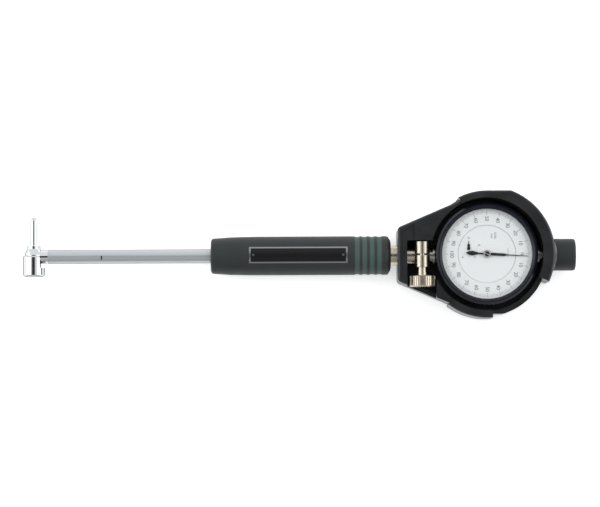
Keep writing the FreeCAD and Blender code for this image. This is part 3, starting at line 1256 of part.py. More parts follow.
os.makedirs("parts", exist_ok=True)
for body in bodies:
    body.Shape.exportStep(os.path.join("parts", body.Label + ".step"))
    box = body.Shape.BoundBox
    print(f"{body.Label:20s} solids {len(body.Shape.Solids)}  volume {body.Shape.Volume:9.1f}  "
          f"X {box.XMin:8.2f} {box.XMax:8.2f}  Y {box.YMin:7.2f} {box.YMax:7.2f}  "
          f"Z {box.ZMin:7.2f} {box.ZMax:7.2f}")
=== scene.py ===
import math

import bmesh
import bpy
from mathutils import Matrix, Vector


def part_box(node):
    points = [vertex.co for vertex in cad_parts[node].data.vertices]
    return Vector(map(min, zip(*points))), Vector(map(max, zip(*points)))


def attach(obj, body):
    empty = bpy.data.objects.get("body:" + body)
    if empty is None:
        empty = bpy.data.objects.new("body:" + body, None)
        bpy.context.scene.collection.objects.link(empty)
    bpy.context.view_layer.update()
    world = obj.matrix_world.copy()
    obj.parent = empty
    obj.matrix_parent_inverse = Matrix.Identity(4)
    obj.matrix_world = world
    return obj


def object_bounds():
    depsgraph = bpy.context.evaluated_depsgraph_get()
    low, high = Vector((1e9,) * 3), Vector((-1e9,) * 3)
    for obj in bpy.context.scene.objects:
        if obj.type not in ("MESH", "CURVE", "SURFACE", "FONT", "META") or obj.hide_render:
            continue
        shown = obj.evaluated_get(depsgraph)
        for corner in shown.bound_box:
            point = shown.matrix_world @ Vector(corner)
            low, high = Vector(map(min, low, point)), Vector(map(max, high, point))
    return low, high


# Dial bore gauge for bores of 18 to 35 mm, in metres, lying on its back: +X to the
# end cap, -X to the measuring head, +Y along the anvil, +Z out of the dial.
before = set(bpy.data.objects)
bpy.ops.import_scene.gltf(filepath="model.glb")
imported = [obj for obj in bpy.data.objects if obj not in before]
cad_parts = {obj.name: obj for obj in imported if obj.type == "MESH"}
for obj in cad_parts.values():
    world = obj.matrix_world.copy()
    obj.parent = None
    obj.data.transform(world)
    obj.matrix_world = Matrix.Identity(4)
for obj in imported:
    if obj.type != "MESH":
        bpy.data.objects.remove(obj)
cad_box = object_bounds()


# ---------------------------------------------------------------- measuring head
# Turned steel core with a domed top and a boss for the tube, plated with bright chrome and
# polished: nearly a mirror, with fine polishing lines. A near-black edge tint paints a dark
# reflection along the edges where the surface turns away.
def linear(code):
    """An sRGB hex colour as linear RGBA."""
    parts = [int(code[i:i + 2], 16) / 255 for i in (1, 3, 5)]
    return [p / 12.92 if p <= 0.04045 else ((p + 0.055) / 1.055) ** 2.4 for p in parts] + [1]


def add_node(tree, kind, inputs, **settings):
    """Adds one node; an input takes a number, a colour or the output that feeds it."""
    node = tree.nodes.new("ShaderNode" + kind)
    for name, setting in settings.items():
        setattr(node, name, setting)
    for name, given in inputs.items():
        if isinstance(given, bpy.types.NodeSocket):
            tree.links.new(given, node.inputs[name])
        else:
            node.inputs[name].default_value = given
    return node


def start_material(name, **finish):
    """A material with one Principled shader, and the surface's place in millimetres."""
    material = bpy.data.materials.new(name)
    material.use_nodes = True
    tree = material.node_tree
    shader = tree.nodes["Principled BSDF"]
    for socket, setting in finish.items():
        shader.inputs[socket.replace("_", " ")].default_value = setting
    place = add_node(tree, "TexCoord", {})
    place = add_node(tree, "VectorMath", {0: place.outputs["Object"], 1: (1000, 1000, 1000)},
                     operation="MULTIPLY")
    return material, tree, shader, place.outputs[0]


def dress(material, *names):
    """Gives CAD nodes their material."""
    for name in names:
        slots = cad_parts[name].data.materials
        slots.clear()
        slots.append(material)


def polished_chrome():
    # The near-black Specular Tint paints a dark reflection along the edges.
    material, tree, shader, place = start_material("bright_chrome_plate", Metallic=1.0,
                                                   Specular_Tint=linear("#0a0a0a"))
    haze = add_node(tree, "TexNoise", {"Vector": place, "Scale": 0.35, "Detail": 4.0})
    rough = add_node(tree, "MapRange", {0: haze.outputs[0], 1: 0.3, 2: 0.7, 3: 0.05, 4: 0.13})
    tint = add_node(tree, "MixRGB", {0: haze.outputs[0], 1: linear("#dcdddd"),
                                     2: linear("#cfd1d2")})
    lines = add_node(tree, "TexNoise", {"Vector": place, "Scale": 6.0, "Detail": 3.0})
    bump = add_node(tree, "Bump", {"Height": lines.outputs[0], "Strength": 0.06,
                                   "Distance": 0.00002})
    tree.links.new(tint.outputs[0], shader.inputs["Base Color"])
    tree.links.new(rough.outputs[0], shader.inputs["Roughness"])
    tree.links.new(bump.outputs[0], shader.inputs["Normal"])
    return material


CHROME = polished_chrome()
dress(CHROME, "head_body")


# Hardened and ground steel: contact point, bell crank and pins. A cool grey with a fine
# grind, only seen through the slot of the head.
def ground_steel():
    material, tree, shader, place = start_material("ground_steel", Metallic=1.0)
    grind = add_node(tree, "Mapping", {"Vector": place, "Scale": (0.4, 9.0, 9.0)})
    grain = add_node(tree, "TexNoise", {"Vector": grind.outputs[0], "Scale": 1.0, "Detail": 5.0})
    rough = add_node(tree, "MapRange", {0: grain.outputs[0], 1: 0.3, 2: 0.7, 3: 0.22, 4: 0.36})
    tint = add_node(tree, "MixRGB", {0: grain.outputs[0], 1: linear("#b4b6b7"),
                                     2: linear("#9ea1a3")})
    bump = add_node(tree, "Bump", {"Height": grain.outputs[0], "Strength": 0.1,
                                   "Distance": 0.00002})
    tree.links.new(tint.outputs[0], shader.inputs["Base Color"])
    tree.links.new(rough.outputs[0], shader.inputs["Roughness"])
    tree.links.new(bump.outputs[0], shader.inputs["Normal"])
    return material


GROUND_STEEL = ground_steel()
dress(GROUND_STEEL, "contact_point", "bell_crank", "bell_crank_pin", "guide_pin",
      "guide_springs")

# ------------------------------------------------------------------ guide sleeve
# The sprung sleeve that centres the head in the bore: turned steel with two lobes,
# chromed and polished like the head it slides on.
dress(CHROME, "guide_sleeve")

# ------------------------------------------------------------- anvil and its nut
# Hard steel pin with a rounded tip, screwed into the head and held by a thin nut,
# both chromed and polished.
dress(CHROME, "anvil", "anvil_nut")


# ------------------------------------------------------------------- probe tube
# Drawn steel tube with satin chrome: brushed round its axis, so that the light spreads
# into soft bands along it. A short witness mark, blackened, is scribed across it near the
# head. The push rod, its bushes and its spring run inside.
MARK_FROM_END = 30.3
MARK_ASIDE = -0.8
MARK_HALF_WIDTH = 0.4
MARK_HALF_LENGTH = 1.1


def satin_chrome():
    """The mark is placed in millimetres, from the tube's head end and its top line."""
    # The near-black Specular Tint paints a dark reflection along the tube's edges.
    material, tree, shader, place = start_material("satin_chrome_plate", Metallic=1.0,
                                                   Specular_Tint=linear("#0a0a0a"))
    rings = add_node(tree, "Mapping", {"Vector": place, "Scale": (5.0, 0.3, 0.3)})
    brush = add_node(tree, "TexNoise", {"Vector": rings.outputs[0], "Scale": 1.0, "Detail": 6.0})
    rough = add_node(tree, "MapRange", {0: brush.outputs[0], 1: 0.3, 2: 0.7, 3: 0.38, 4: 0.48})
    satin = add_node(tree, "MixRGB", {0: brush.outputs[0], 1: linear("#c6c9cb"),
                                      2: linear("#bbbfc1")})
    parts = add_node(tree, "SeparateXYZ", {0: place})
    mark_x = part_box("probe_tube")[0].x * 1000 + MARK_FROM_END
    along = add_node(tree, "Math", {0: parts.outputs[0], 1: mark_x}, operation="SUBTRACT")
    near = add_node(tree, "Math", {0: along.outputs[0]}, operation="ABSOLUTE")
    across = add_node(tree, "Math", {0: parts.outputs[1], 1: MARK_ASIDE},
                      operation="SUBTRACT")
    beside = add_node(tree, "Math", {0: across.outputs[0]}, operation="ABSOLUTE")
    within = add_node(tree, "Math", {0: near.outputs[0], 1: MARK_HALF_WIDTH},
                      operation="LESS_THAN")
    short = add_node(tree, "Math", {0: beside.outputs[0], 1: MARK_HALF_LENGTH},
                     operation="LESS_THAN")
    mark = add_node(tree, "Math", {0: within.outputs[0], 1: short.outputs[0]},
                    operation="MULTIPLY")
    tint = add_node(tree, "MixRGB", {0: mark.outputs[0], 1: satin.outputs[0],
                                     2: linear("#3a3d3f")})
    bump = add_node(tree, "Bump", {"Height": brush.outputs[0], "Strength": 0.08,
                                   "Distance": 0.00002})
    tree.links.new(tint.outputs[0], shader.inputs["Base Color"])
    tree.links.new(rough.outputs[0], shader.inputs["Roughness"])
    tree.links.new(bump.outputs[0], shader.inputs["Normal"])
    return material


dress(satin_chrome(), "probe_tube")
dress(GROUND_STEEL, "push_rod", "rod_spring")


# Free-cutting brass, turned, for the bushes, movement plates, arbors and wheels: a warm
# yellow with fine, soft turning marks.
def turned_brass():
    material, tree, shader, place = start_material("turned_brass", Metallic=1.0)
    rings = add_node(tree, "TexNoise", {"Vector": place, "Scale": 3.0, "Detail": 5.0})
    rough = add_node(tree, "MapRange", {0: rings.outputs[0], 1: 0.3, 2: 0.7, 3: 0.2, 4: 0.34})
    tint = add_node(tree, "MixRGB", {0: rings.outputs[0], 1: linear("#cda85a"),
                                     2: linear("#b98f45")})
    tree.links.new(tint.outputs[0], shader.inputs["Base Color"])
    tree.links.new(rough.outputs[0], shader.inputs["Roughness"])
    return material


BRASS = turned_brass()
dress(BRASS, "rod_bushes")


# ------------------------------------------------------------------------- grip
# Glass-filled nylon sleeve, moulded with a fine spark-eroded skin: a dark grey with a
# green cast and hardly any gloss. Its four thumb grooves get a lighter, greener tint
# that is a painted highlight.
GROOVES_START = 24
GROOVES_END = 3.2
TINT_FROM_DEPTH = 0.08
TINT_FULL_DEPTH = 0.26


def moulded_nylon(name, grooved=False):
    """Grooves lie between two distances, in millimetres, from the grip's rear end."""
    material, tree, shader, place = start_material(name, IOR=1.53, Specular_IOR_Level=0.22)
    skin = add_node(tree, "TexNoise", {"Vector": place, "Scale": 3.3, "Detail": 3.0})
    cloud = add_node(tree, "TexNoise", {"Vector": place, "Scale": 0.12, "Detail": 3.0})
    tint = add_node(tree, "MixRGB", {0: cloud.outputs[0], 1: linear("#262928"),
                                     2: linear("#2e3231")})
    rough = add_node(tree, "MapRange", {0: cloud.outputs[0], 1: 0.3, 2: 0.7, 3: 0.46, 4: 0.56})
    if grooved:
        low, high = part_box("grip")
        middle = (low + high) / 2 * 1000
        from_axis = add_node(tree, "VectorMath", {0: place, 1: (0, middle.y, middle.z)},
                             operation="SUBTRACT")
        crosswise = add_node(tree, "VectorMath", {0: from_axis.outputs[0], 1: (0, 1, 1)},
                             operation="MULTIPLY")
        radius = add_node(tree, "VectorMath", {0: crosswise.outputs[0]}, operation="LENGTH")
        skin_radius = (high.z - low.z) / 2 * 1000
        sunk = add_node(tree, "MapRange", {0: radius.outputs["Value"],
                                           1: skin_radius - TINT_FULL_DEPTH,
                                           2: skin_radius - TINT_FROM_DEPTH,
                                           3: 1.0, 4: 0.0})
        parts = add_node(tree, "SeparateXYZ", {0: place})
        rear = high.x * 1000
        behind = add_node(tree, "Math", {0: parts.outputs[0], 1: rear - GROOVES_START},
                          operation="GREATER_THAN")
        ahead = add_node(tree, "Math", {0: parts.outputs[0], 1: rear - GROOVES_END},
                         operation="LESS_THAN")
        # Painted highlight: a lighter, greener tint on the sunk faces of the thumb grooves.
        groove_highlight = add_node(tree, "Math", {0: sunk.outputs[0], 1: behind.outputs[0]},
                        operation="MULTIPLY")
        groove_highlight = add_node(tree, "Math", {0: groove_highlight.outputs[0], 1: ahead.outputs[0]},
                        operation="MULTIPLY")
        tint = add_node(tree, "MixRGB", {0: groove_highlight.outputs[0], 1: tint.outputs[0],
                                         2: linear("#3f504b")})
    bump = add_node(tree, "Bump", {"Height": skin.outputs[0], "Strength": 0.35,
                                   "Distance": 0.00003})
    tree.links.new(tint.outputs[0], shader.inputs["Base Color"])
    tree.links.new(rough.outputs[0], shader.inputs["Roughness"])
    tree.links.new(bump.outputs[0], shader.inputs["Normal"])
    return material


dress(moulded_nylon("grip_nylon", grooved=True), "grip")


# ------------------------------------------------------------------- label plate
# Thin aluminium plate let into the grip: printed black, with a bare satin border
# about a millimetre wide and a small rivet-like dot at each end.
END_BORDER = 0.95
SIDE_BORDER = 0.8
DOT_INSET = 2.4
DOT_RADIUS = 0.7


def printed_plate():
    """Border and dots are measured in millimetres from the plate's edges."""
    material, tree, shader, place = start_material("printed_aluminium_plate",
                                                   Specular_IOR_Level=0.25)
    low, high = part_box("label_plate")
    middle = (low + high) / 2 * 1000
    half = (high - low) / 2 * 1000
    centred = add_node(tree, "VectorMath", {0: place, 1: middle}, operation="SUBTRACT")
    parts = add_node(tree, "SeparateXYZ", {0: centred.outputs[0]})
    across = add_node(tree, "Math", {0: parts.outputs[0]}, operation="ABSOLUTE")
    up = add_node(tree, "Math", {0: parts.outputs[1]}, operation="ABSOLUTE")
    end_rim = add_node(tree, "Math", {0: across.outputs[0], 1: half.x - END_BORDER},
                       operation="GREATER_THAN")
    side_rim = add_node(tree, "Math", {0: up.outputs[0], 1: half.y - SIDE_BORDER},
                        operation="GREATER_THAN")
    rim = add_node(tree, "Math", {0: end_rim.outputs[0], 1: side_rim.outputs[0]},
                   operation="MAXIMUM")
    from_dot = add_node(tree, "Math", {0: across.outputs[0], 1: half.x - DOT_INSET},
                        operation="SUBTRACT")
    dot_place = add_node(tree, "CombineXYZ", {0: from_dot.outputs[0], 1: up.outputs[0]})
    dot_reach = add_node(tree, "VectorMath", {0: dot_place.outputs[0]}, operation="LENGTH")
    dot = add_node(tree, "Math", {0: dot_reach.outputs["Value"], 1: DOT_RADIUS},
                   operation="LESS_THAN")
    rim = add_node(tree, "Math", {0: rim.outputs[0], 1: dot.outputs[0]}, operation="MAXIMUM")
    grain = add_node(tree, "TexNoise", {"Vector": place, "Scale": 4.0, "Detail": 4.0})
    bare = add_node(tree, "MixRGB", {0: grain.outputs[0], 1: linear("#9a9c9c"),
                                     2: linear("#7e8182")})
    ink = add_node(tree, "MixRGB", {0: grain.outputs[0], 1: linear("#070708"),
                                    2: linear("#0e0e0f")})
    paint = add_node(tree, "MixRGB", {0: rim.outputs[0], 1: ink.outputs[0],
                                      2: bare.outputs[0]})
    rough = add_node(tree, "MapRange", {0: rim.outputs[0], 3: 0.38, 4: 0.3})
    tree.links.new(paint.outputs[0], shader.inputs["Base Color"])
    tree.links.new(rim.outputs[0], shader.inputs["Metallic"])
    tree.links.new(rough.outputs[0], shader.inputs["Roughness"])
    return material


dress(printed_plate(), "label_plate")


# ------------------------------------------------------- holder and thumb screw
# Holder with its split collar, and the knurled screw that pulls the collar's ears
# together: steel, nickel plated, which is warmer and softer than chrome.
def nickel_plate():
    material, tree, shader, place = start_material("nickel_plate", Metallic=1.0)
    haze = add_node(tree, "TexNoise", {"Vector": place, "Scale": 0.9, "Detail": 5.0})
    rough = add_node(tree, "MapRange", {0: haze.outputs[0], 1: 0.3, 2: 0.7, 3: 0.2, 4: 0.32})
    tint = add_node(tree, "MixRGB", {0: haze.outputs[0], 1: linear("#c6bfb0"),
                                     2: linear("#aea491")})
    bump = add_node(tree, "Bump", {"Height": haze.outputs[0], "Strength": 0.08,
                                   "Distance": 0.00004})
    tree.links.new(tint.outputs[0], shader.inputs["Base Color"])
    tree.links.new(rough.outputs[0], shader.inputs["Roughness"])
    tree.links.new(bump.outputs[0], shader.inputs["Normal"])
    return material


NICKEL = nickel_plate()
dress(NICKEL, "holder", "thumb_screw")


# ------------------------------------------------------------------- dial cover
# Black ABS shell, injection moulded, with a fine texture that shows as a grey sheen on
# its flat faces and brighter on its rounded rims.
def moulded_abs():
    material, tree, shader, place = start_material("moulded_black_abs", IOR=1.54)
    skin = add_node(tree, "TexNoise", {"Vector": place, "Scale": 4.0, "Detail": 3.0})
    cloud = add_node(tree, "TexNoise", {"Vector": place, "Scale": 0.09, "Detail": 3.0})
    tint = add_node(tree, "MixRGB", {0: cloud.outputs[0], 1: linear("#0d0e11"),
                                     2: linear("#131418")})
    rough = add_node(tree, "MapRange", {0: cloud.outputs[0], 1: 0.3, 2: 0.7, 3: 0.3, 4: 0.4})
    bump = add_node(tree, "Bump", {"Height": skin.outputs[0], "Strength": 0.25,
                                   "Distance": 0.00003})
    tree.links.new(tint.outputs[0], shader.inputs["Base Color"])
    tree.links.new(rough.outputs[0], shader.inputs["Roughness"])
    tree.links.new(bump.outputs[0], shader.inputs["Normal"])
    return material


ABS = moulded_abs()
dress(ABS, "dial_cover")


# Four socket screws of steel with black oxide, sunk in the cover's back: a dull black
# with faint patches.
def black_oxide():
    material, tree, shader, place = start_material("black_oxide_steel", Metallic=0.8)
    patch = add_node(tree, "TexNoise", {"Vector": place, "Scale": 1.5, "Detail": 4.0})
    tint = add_node(tree, "MixRGB", {0: patch.outputs[0], 1: linear("#1c1c1e"),
                                     2: linear("#2c2c2e")})
    rough = add_node(tree, "MapRange", {0: patch.outputs[0], 3: 0.35, 4: 0.5})
    tree.links.new(tint.outputs[0], shader.inputs["Base Color"])
    tree.links.new(rough.outputs[0], shader.inputs["Roughness"])
    return material


dress(black_oxide(), "cover_screws")


# ------------------------------------------------------------ end cap and its ring
# Cap moulded from the grip's nylon, over a turned aluminium ring whose rim shows as
# a light sickle where the cap's foot is cut to fit the round shell.
def turned_aluminium():
    material, tree, shader, place = start_material("turned_aluminium", Metallic=1.0)
    rings = add_node(tree, "Mapping", {"Vector": place, "Scale": (8.0, 0.2, 0.2)})
    cut = add_node(tree, "TexNoise", {"Vector": rings.outputs[0], "Scale": 1.0, "Detail": 4.0})
    tint = add_node(tree, "MixRGB", {0: cut.outputs[0], 1: linear("#8d8f90"),
                                     2: linear("#7b7d7e")})
    rough = add_node(tree, "MapRange", {0: cut.outputs[0], 3: 0.35, 4: 0.5})
    tree.links.new(tint.outputs[0], shader.inputs["Base Color"])
    tree.links.new(rough.outputs[0], shader.inputs["Roughness"])
    return material


dress(turned_aluminium(), "cap_ring")
dress(moulded_nylon("cap_nylon"), "end_cap")


# -------------------------------------------------------------- indicator's case
# Die-cast case and its back, stoved with black enamel: a smooth deep gloss with the
# slightest orange peel. Stem, bush and spindle are ground steel.
def black_enamel():
    material, tree, shader, place = start_material("black_stove_enamel", IOR=1.5)
    peel = add_node(tree, "TexNoise", {"Vector": place, "Scale": 0.8, "Detail": 2.0})
    tint = add_node(tree, "MixRGB", {0: peel.outputs[0], 1: linear("#0d0e12"),
                                     2: linear("#14151b")})
    rough = add_node(tree, "MapRange", {0: peel.outputs[0], 3: 0.16, 4: 0.26})
    bump = add_node(tree, "Bump", {"Height": peel.outputs[0], "Strength": 0.06,
                                   "Distance": 0.00005})
    tree.links.new(tint.outputs[0], shader.inputs["Base Color"])
    tree.links.new(rough.outputs[0], shader.inputs["Roughness"])
    tree.links.new(bump.outputs[0], shader.inputs["Normal"])
    return material


dress(black_enamel(), "indicator_case", "case_back")
dress(GROUND_STEEL, "stem", "upper_bush", "spindle", "spindle_contact")

# --------------------------------------------------------------------- movement
# Two brass plates on the case, with the arbors of the gear train between them, all
# turned or stamped from the same brass as the bushes.
dress(BRASS, "movement_plate", "bridge", "rack_pinion", "intermediate_arbor",
      "centre_arbor", "counter_arbor")


# ------------------------------------------------------------------------- dials
# Fixed inner dial and the outer ring that turns with the bezel: aluminium discs with
# an even off-white lacquer, which is matt with a faint grain.
def dial_lacquer():
    material, tree, shader, place = start_material("off_white_dial_lacquer", IOR=1.5)
    grain = add_node(tree, "TexNoise", {"Vector": place, "Scale": 2.5, "Detail": 4.0})
    tint = add_node(tree, "MixRGB", {0: grain.outputs[0], 1: linear("#e6e8e8"),
                                     2: linear("#dfe2e3")})
    rough = add_node(tree, "MapRange", {0: grain.outputs[0], 3: 0.45, 4: 0.55})
    tree.links.new(tint.outputs[0], shader.inputs["Base Color"])
    tree.links.new(rough.outputs[0], shader.inputs["Roughness"])
    return material


dress(dial_lacquer(), "inner_dial", "dial_ring")


# Pad-printed scales: graduations for 0.001 mm, numbers both ways from 0, the counter's
# scale and the unit. The ink stands a few hundredths of a millimetre proud.
def printing_ink():
    material, tree, shader, place = start_material("dial_printing_ink", IOR=1.5,
                                                   Roughness=0.5)
    grain = add_node(tree, "TexNoise", {"Vector": place, "Scale": 9.0, "Detail": 2.0})
    thin = add_node(tree, "MixRGB", {0: grain.outputs[0], 1: linear("#4a4d4f"),
                                     2: linear("#6f7274")})
    tree.links.new(thin.outputs[0], shader.inputs["Base Color"])
    return material


INK = printing_ink()
INK_THICK = 0.00003
LONG_START = 0.0218
MIDDLE_START = 0.0223
SHORT_START = 0.0228
GRADUATION_END = 0.0243
BOLD = 0.0002
FINE = 0.0001
NUMBER_RADIUS = 0.0198
NUMBER_HEIGHT = 0.0021
SMALL_HEIGHT = 0.0013
COUNTER_NUMBERS = 0.006
COUNTER_TICK_START = 0.0043
COUNTER_TICK_END = 0.0049
COUNTER_TICK_WIDTH = 0.00012
UNIT_PLACE = (0.0037, 0.0101)
SHORT_MARK = ((0.0118, -0.0018), (0.0118, 0.0032))


def stroke(mesh, start, end, width, base):
    """A printed line as a thin closed bar."""
    along = (Vector(end) - Vector(start)).normalized()
    side = Vector((-along.y, along.x)) * width / 2
    corners = [Vector(start) - side, Vector(end) - side, Vector(end) + side,
               Vector(start) + side]
    low = [mesh.verts.new((c.x, c.y, base)) for c in corners]
    top = [mesh.verts.new((c.x, c.y, base + INK_THICK)) for c in corners]
    mesh.faces.new(low[::-1])
    mesh.faces.new(top)
    for i in range(4):
        mesh.faces.new((low[i], low[(i + 1) % 4], top[(i + 1) % 4], top[i]))


def lettering(mesh, words, middle, height, base):
    """Printed figures, whose tops point to the end cap."""
    curve = bpy.data.curves.new("figures", "FONT")
    curve.body = words
    curve.size = height / 0.69
    curve.align_x, curve.align_y = "CENTER", "CENTER"
    curve.extrude = INK_THICK / 2
    curve.resolution_u = 3
    curve.space_character = 0.95
    letters = bpy.data.objects.new("figures", curve)
    shape = bpy.data.meshes.new_from_object(letters)
    turn = Matrix.Rotation(-math.pi / 2, 4, "Z")
    spot = Matrix.Translation((middle[0], middle[1], base + INK_THICK / 2))
    shape.transform(spot @ turn)
    mesh.from_mesh(shape)
    bpy.data.objects.remove(letters)
    bpy.data.curves.remove(curve)
    bpy.data.meshes.remove(shape)


def finish_print(name, mesh, body):
    """Makes one piece of what was printed, and lets it ride on a body."""
    bmesh.ops.remove_doubles(mesh, verts=mesh.verts, dist=1e-7)
    data = bpy.data.meshes.new(name)
    mesh.to_mesh(data)
    mesh.free()
    data.materials.append(INK)
    piece = bpy.data.objects.new(name, data)
    bpy.context.scene.collection.objects.link(piece)
    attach(piece, body)


ring_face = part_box("dial_ring")[1].z
scale = bmesh.new()
for step in range(200):
    angle = math.radians(step * 1.8)
    way = Vector((math.cos(angle), math.sin(angle)))
    inner = LONG_START if step % 10 == 0 else MIDDLE_START if step % 5 == 0 else SHORT_START
    width = BOLD if step % 10 == 0 else FINE
    stroke(scale, way * inner, way * GRADUATION_END, width, ring_face)
for step in range(20):
    angle = math.radians(step * 18)
    way = Vector((math.cos(angle), math.sin(angle)))
    number = 10 * min(step, 20 - step)
    lettering(scale, str(number), way * NUMBER_RADIUS, NUMBER_HEIGHT, ring_face)
finish_print("ring_printing", scale, "bezel_unit")

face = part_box("inner_dial")[1].z
counter = (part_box("counter_arbor")[0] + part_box("counter_arbor")[1]) / 2
inner_print = bmesh.new()
for step in range(10):
    angle = math.radians(90 + step * 36)
    way = Vector((math.cos(angle), math.sin(angle)))
    start = counter.xy + way * COUNTER_TICK_START
    end = counter.xy + way * COUNTER_TICK_END
    stroke(inner_print, start, end, COUNTER_TICK_WIDTH, face)
    if step % 2 == 0:
        spot = counter.xy + way * COUNTER_NUMBERS
        lettering(inner_print, str(step), spot, SMALL_HEIGHT, face)
lettering(inner_print, "0.001\nmm", UNIT_PLACE, SMALL_HEIGHT, face)
stroke(inner_print, *SHORT_MARK, BOLD, face)
finish_print("inner_printing", inner_print, "gauge")


# ------------------------------------------------------------------------- hands
# Stamped from thin brass and painted matt black. The main hand turns about the frame's
# origin; its hub keeps a bright rim and a bright slot, whose sizes are in millimetres.
HUB_RADIUS = 2.05
HUB_CORE = 1.4
SLOT_HALF = 0.2
SLOT_SIDE = (math.sin(math.radians(25)), math.cos(math.radians(25)), 0)


def hand_paint():
    material, tree, shader, place = start_material("matt_black_hand_paint", IOR=1.5)
    grain = add_node(tree, "TexNoise", {"Vector": place, "Scale": 6.0, "Detail": 2.0})
    tint = add_node(tree, "MixRGB", {0: grain.outputs[0], 1: linear("#0b0b0c"),
                                     2: linear("#151516")})
    flat = add_node(tree, "VectorMath", {0: place, 1: (1, 1, 0)}, operation="MULTIPLY")
    reach = add_node(tree, "VectorMath", {0: flat.outputs[0]}, operation="LENGTH")
    hub = add_node(tree, "Math", {0: reach.outputs["Value"], 1: HUB_RADIUS},
                   operation="LESS_THAN")
    beyond = add_node(tree, "Math", {0: reach.outputs["Value"], 1: HUB_CORE},
                      operation="GREATER_THAN")
    off_slot = add_node(tree, "VectorMath", {0: flat.outputs[0], 1: SLOT_SIDE},
                        operation="DOT_PRODUCT")
    from_slot = add_node(tree, "Math", {0: off_slot.outputs["Value"]}, operation="ABSOLUTE")
    slot = add_node(tree, "Math", {0: from_slot.outputs[0], 1: SLOT_HALF},
                    operation="LESS_THAN")
    bare = add_node(tree, "Math", {0: beyond.outputs[0], 1: slot.outputs[0]},
                    operation="MAXIMUM")
    bare = add_node(tree, "Math", {0: bare.outputs[0], 1: hub.outputs[0]},
                    operation="MULTIPLY")
    bright = add_node(tree, "MixRGB", {0: bare.outputs[0], 1: tint.outputs[0],
                                       2: linear("#e2e3e1")})
    rough = add_node(tree, "MapRange", {0: bare.outputs[0], 3: 0.5, 4: 0.38})
    tree.links.new(bright.outputs[0], shader.inputs["Base Color"])
    tree.links.new(bare.outputs[0], shader.inputs["Metallic"])
    tree.links.new(rough.outputs[0], shader.inputs["Roughness"])
    return material


dress(hand_paint(), "main_hand", "counter_hand")


# ----------------------------------------------------------------- bezel, crystal
# Aluminium bezel, turned, fluted and anodised a blue-black, with a satin sheen; it
# holds a clear acrylic crystal.
def anodised_bezel():
    material, tree, shader, place = start_material("blue_black_anodised_aluminium",
                                                   Metallic=0.3)
    cut = add_node(tree, "TexNoise", {"Vector": place, "Scale": 2.0, "Detail": 4.0})
    tint = add_node(tree, "MixRGB", {0: cut.outputs[0], 1: linear("#090b16"),
                                     2: linear("#0e101f")})
    rough = add_node(tree, "MapRange", {0: cut.outputs[0], 3: 0.25, 4: 0.38})
    tree.links.new(tint.outputs[0], shader.inputs["Base Color"])
    tree.links.new(rough.outputs[0], shader.inputs["Roughness"])
    return material


def clear_acrylic():
    material, tree, shader, place = start_material("clear_acrylic", IOR=1.49, Alpha=0.04)
    wave = add_node(tree, "TexNoise", {"Vector": place, "Scale": 0.2, "Detail": 2.0})
    tint = add_node(tree, "MixRGB", {0: wave.outputs[0], 1: linear("#2a2e30"),
                                     2: linear("#202426")})
    rough = add_node(tree, "MapRange", {0: wave.outputs[0], 3: 0.02, 4: 0.06})
    tree.links.new(tint.outputs[0], shader.inputs["Base Color"])
    tree.links.new(rough.outputs[0], shader.inputs["Roughness"])
    return material


dress(anodised_bezel(), "bezel")
dress(clear_acrylic(), "crystal")


# ------------------------------------------------------------- table, light, camera
# A pale table of matt paper, soft lamps round a darker ceiling, and a camera that
# looks down on the gauge.
TABLE_GLOW = 0.45


def table_paper():
    material, tree, shader, place = start_material("matt_white_paper", Roughness=0.9)
    fibre = add_node(tree, "TexNoise", {"Vector": place, "Scale": 0.05, "Detail": 3.0})
    tint = add_node(tree, "MixRGB", {0: fibre.outputs[0], 1: linear("#f4f4f4"),
                                     2: linear("#f0f0f0")})
    tree.links.new(tint.outputs[0], shader.inputs["Base Color"])
    rays = add_node(tree, "LightPath", {})
    seen = add_node(tree, "Math", {0: rays.outputs["Is Camera Ray"],
                                   1: rays.outputs["Is Glossy Ray"]}, operation="ADD")
    seen = add_node(tree, "Math", {0: seen.outputs[0],
                                   1: rays.outputs["Is Transmission Ray"]}, operation="ADD")
    glow = add_node(tree, "Math", {0: seen.outputs[0], 1: TABLE_GLOW},
                    operation="MULTIPLY")
    shader.inputs["Emission Color"].default_value = (1, 1, 1, 1)
    tree.links.new(glow.outputs[0], shader.inputs["Emission Strength"])
    return material


table_mesh = bpy.data.meshes.new("table")
table_mesh.from_pydata([(-3, -3, 0), (3, -3, 0), (3, 3, 0), (-3, 3, 0)], [], [(0, 1, 2, 3)])
table_mesh.materials.append(table_paper())
table = bpy.data.objects.new("table", table_mesh)
table.location.z = cad_box[0].z - 0.0001
bpy.context.scene.collection.objects.link(table)


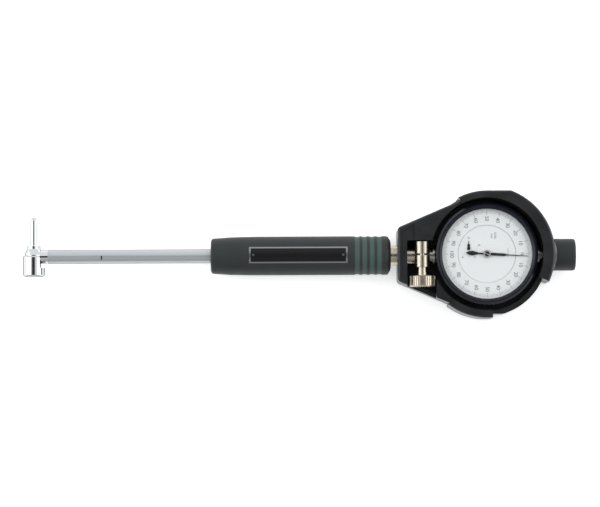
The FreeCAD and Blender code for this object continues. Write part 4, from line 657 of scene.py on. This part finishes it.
def softbox(name, spot, aim, width, height, watts):
    lamp = bpy.data.lights.new(name, "AREA")
    lamp.shape = "RECTANGLE"
    lamp.size, lamp.size_y = width, height
    lamp.energy = watts
    lamp_object = bpy.data.objects.new(name, lamp)
    lamp_object.location = spot
    way = Vector(aim) - Vector(spot)
    lamp_object.rotation_euler = way.to_track_quat("-Z", "Y").to_euler()
    bpy.context.scene.collection.objects.link(lamp_object)
    return lamp_object


AIM = (-0.1, 0, 0)
softbox("left_softbox", (-1.25, 0.1, 0.75), AIM, 0.8, 1.2, 4)
softbox("right_softbox", (1.05, 0.1, 0.75), AIM, 0.8, 1.2, 4)
overhead = softbox("overhead_softbox", (-0.1, 0.3, 1.4), AIM, 1.6, 1.0, 6)
overhead.visible_glossy = False


def studio_walls():
    """Walls that brighten from front to back, and a dark patch straight overhead, which
    draws a dark line down each polished cylinder."""
    world = bpy.data.worlds.new("studio")
    world.use_nodes = True
    tree = world.node_tree
    way = add_node(tree, "TexCoord", {})
    parts = add_node(tree, "SeparateXYZ", {0: way.outputs["Generated"]})
    walls = add_node(tree, "MapRange", {0: parts.outputs[1], 1: -0.85, 2: 0.25,
                                        3: 0.5, 4: 1.1})
    ceiling = add_node(tree, "MapRange", {0: parts.outputs[2], 1: 0.93, 2: 0.985,
                                          3: 1.0, 4: 0.04},
                       interpolation_type="SMOOTHSTEP")
    level = add_node(tree, "Math", {0: walls.outputs[0], 1: ceiling.outputs[0]},
                     operation="MULTIPLY")
    background = tree.nodes["Background"]
    background.inputs["Color"].default_value = linear("#f8fafc")
    tree.links.new(level.outputs[0], background.inputs["Strength"])
    return world


bpy.context.scene.world = studio_walls()

SENSOR = 36
DISTANCE = 1.7
FIELD_WIDTH = 0.336
camera = bpy.data.cameras.new("camera")
camera.sensor_width = SENSOR
camera.lens = SENSOR * DISTANCE / FIELD_WIDTH
camera_object = bpy.data.objects.new("camera", camera)
target = Vector((-0.1048, 0.0006, 0.028))
tilt = math.radians(87)
camera_object.location = target + Vector((0, -math.cos(tilt), math.sin(tilt))) * DISTANCE
look = (target - camera_object.location).to_track_quat("-Z", "Y").to_matrix().to_4x4()
roll = Matrix.Rotation(math.radians(-0.25), 4, "Z")
camera_object.rotation_euler = (look @ roll).to_euler()
bpy.context.scene.collection.objects.link(camera_object)
bpy.context.scene.camera = camera_object
bpy.context.scene.view_settings.view_transform = "Standard"
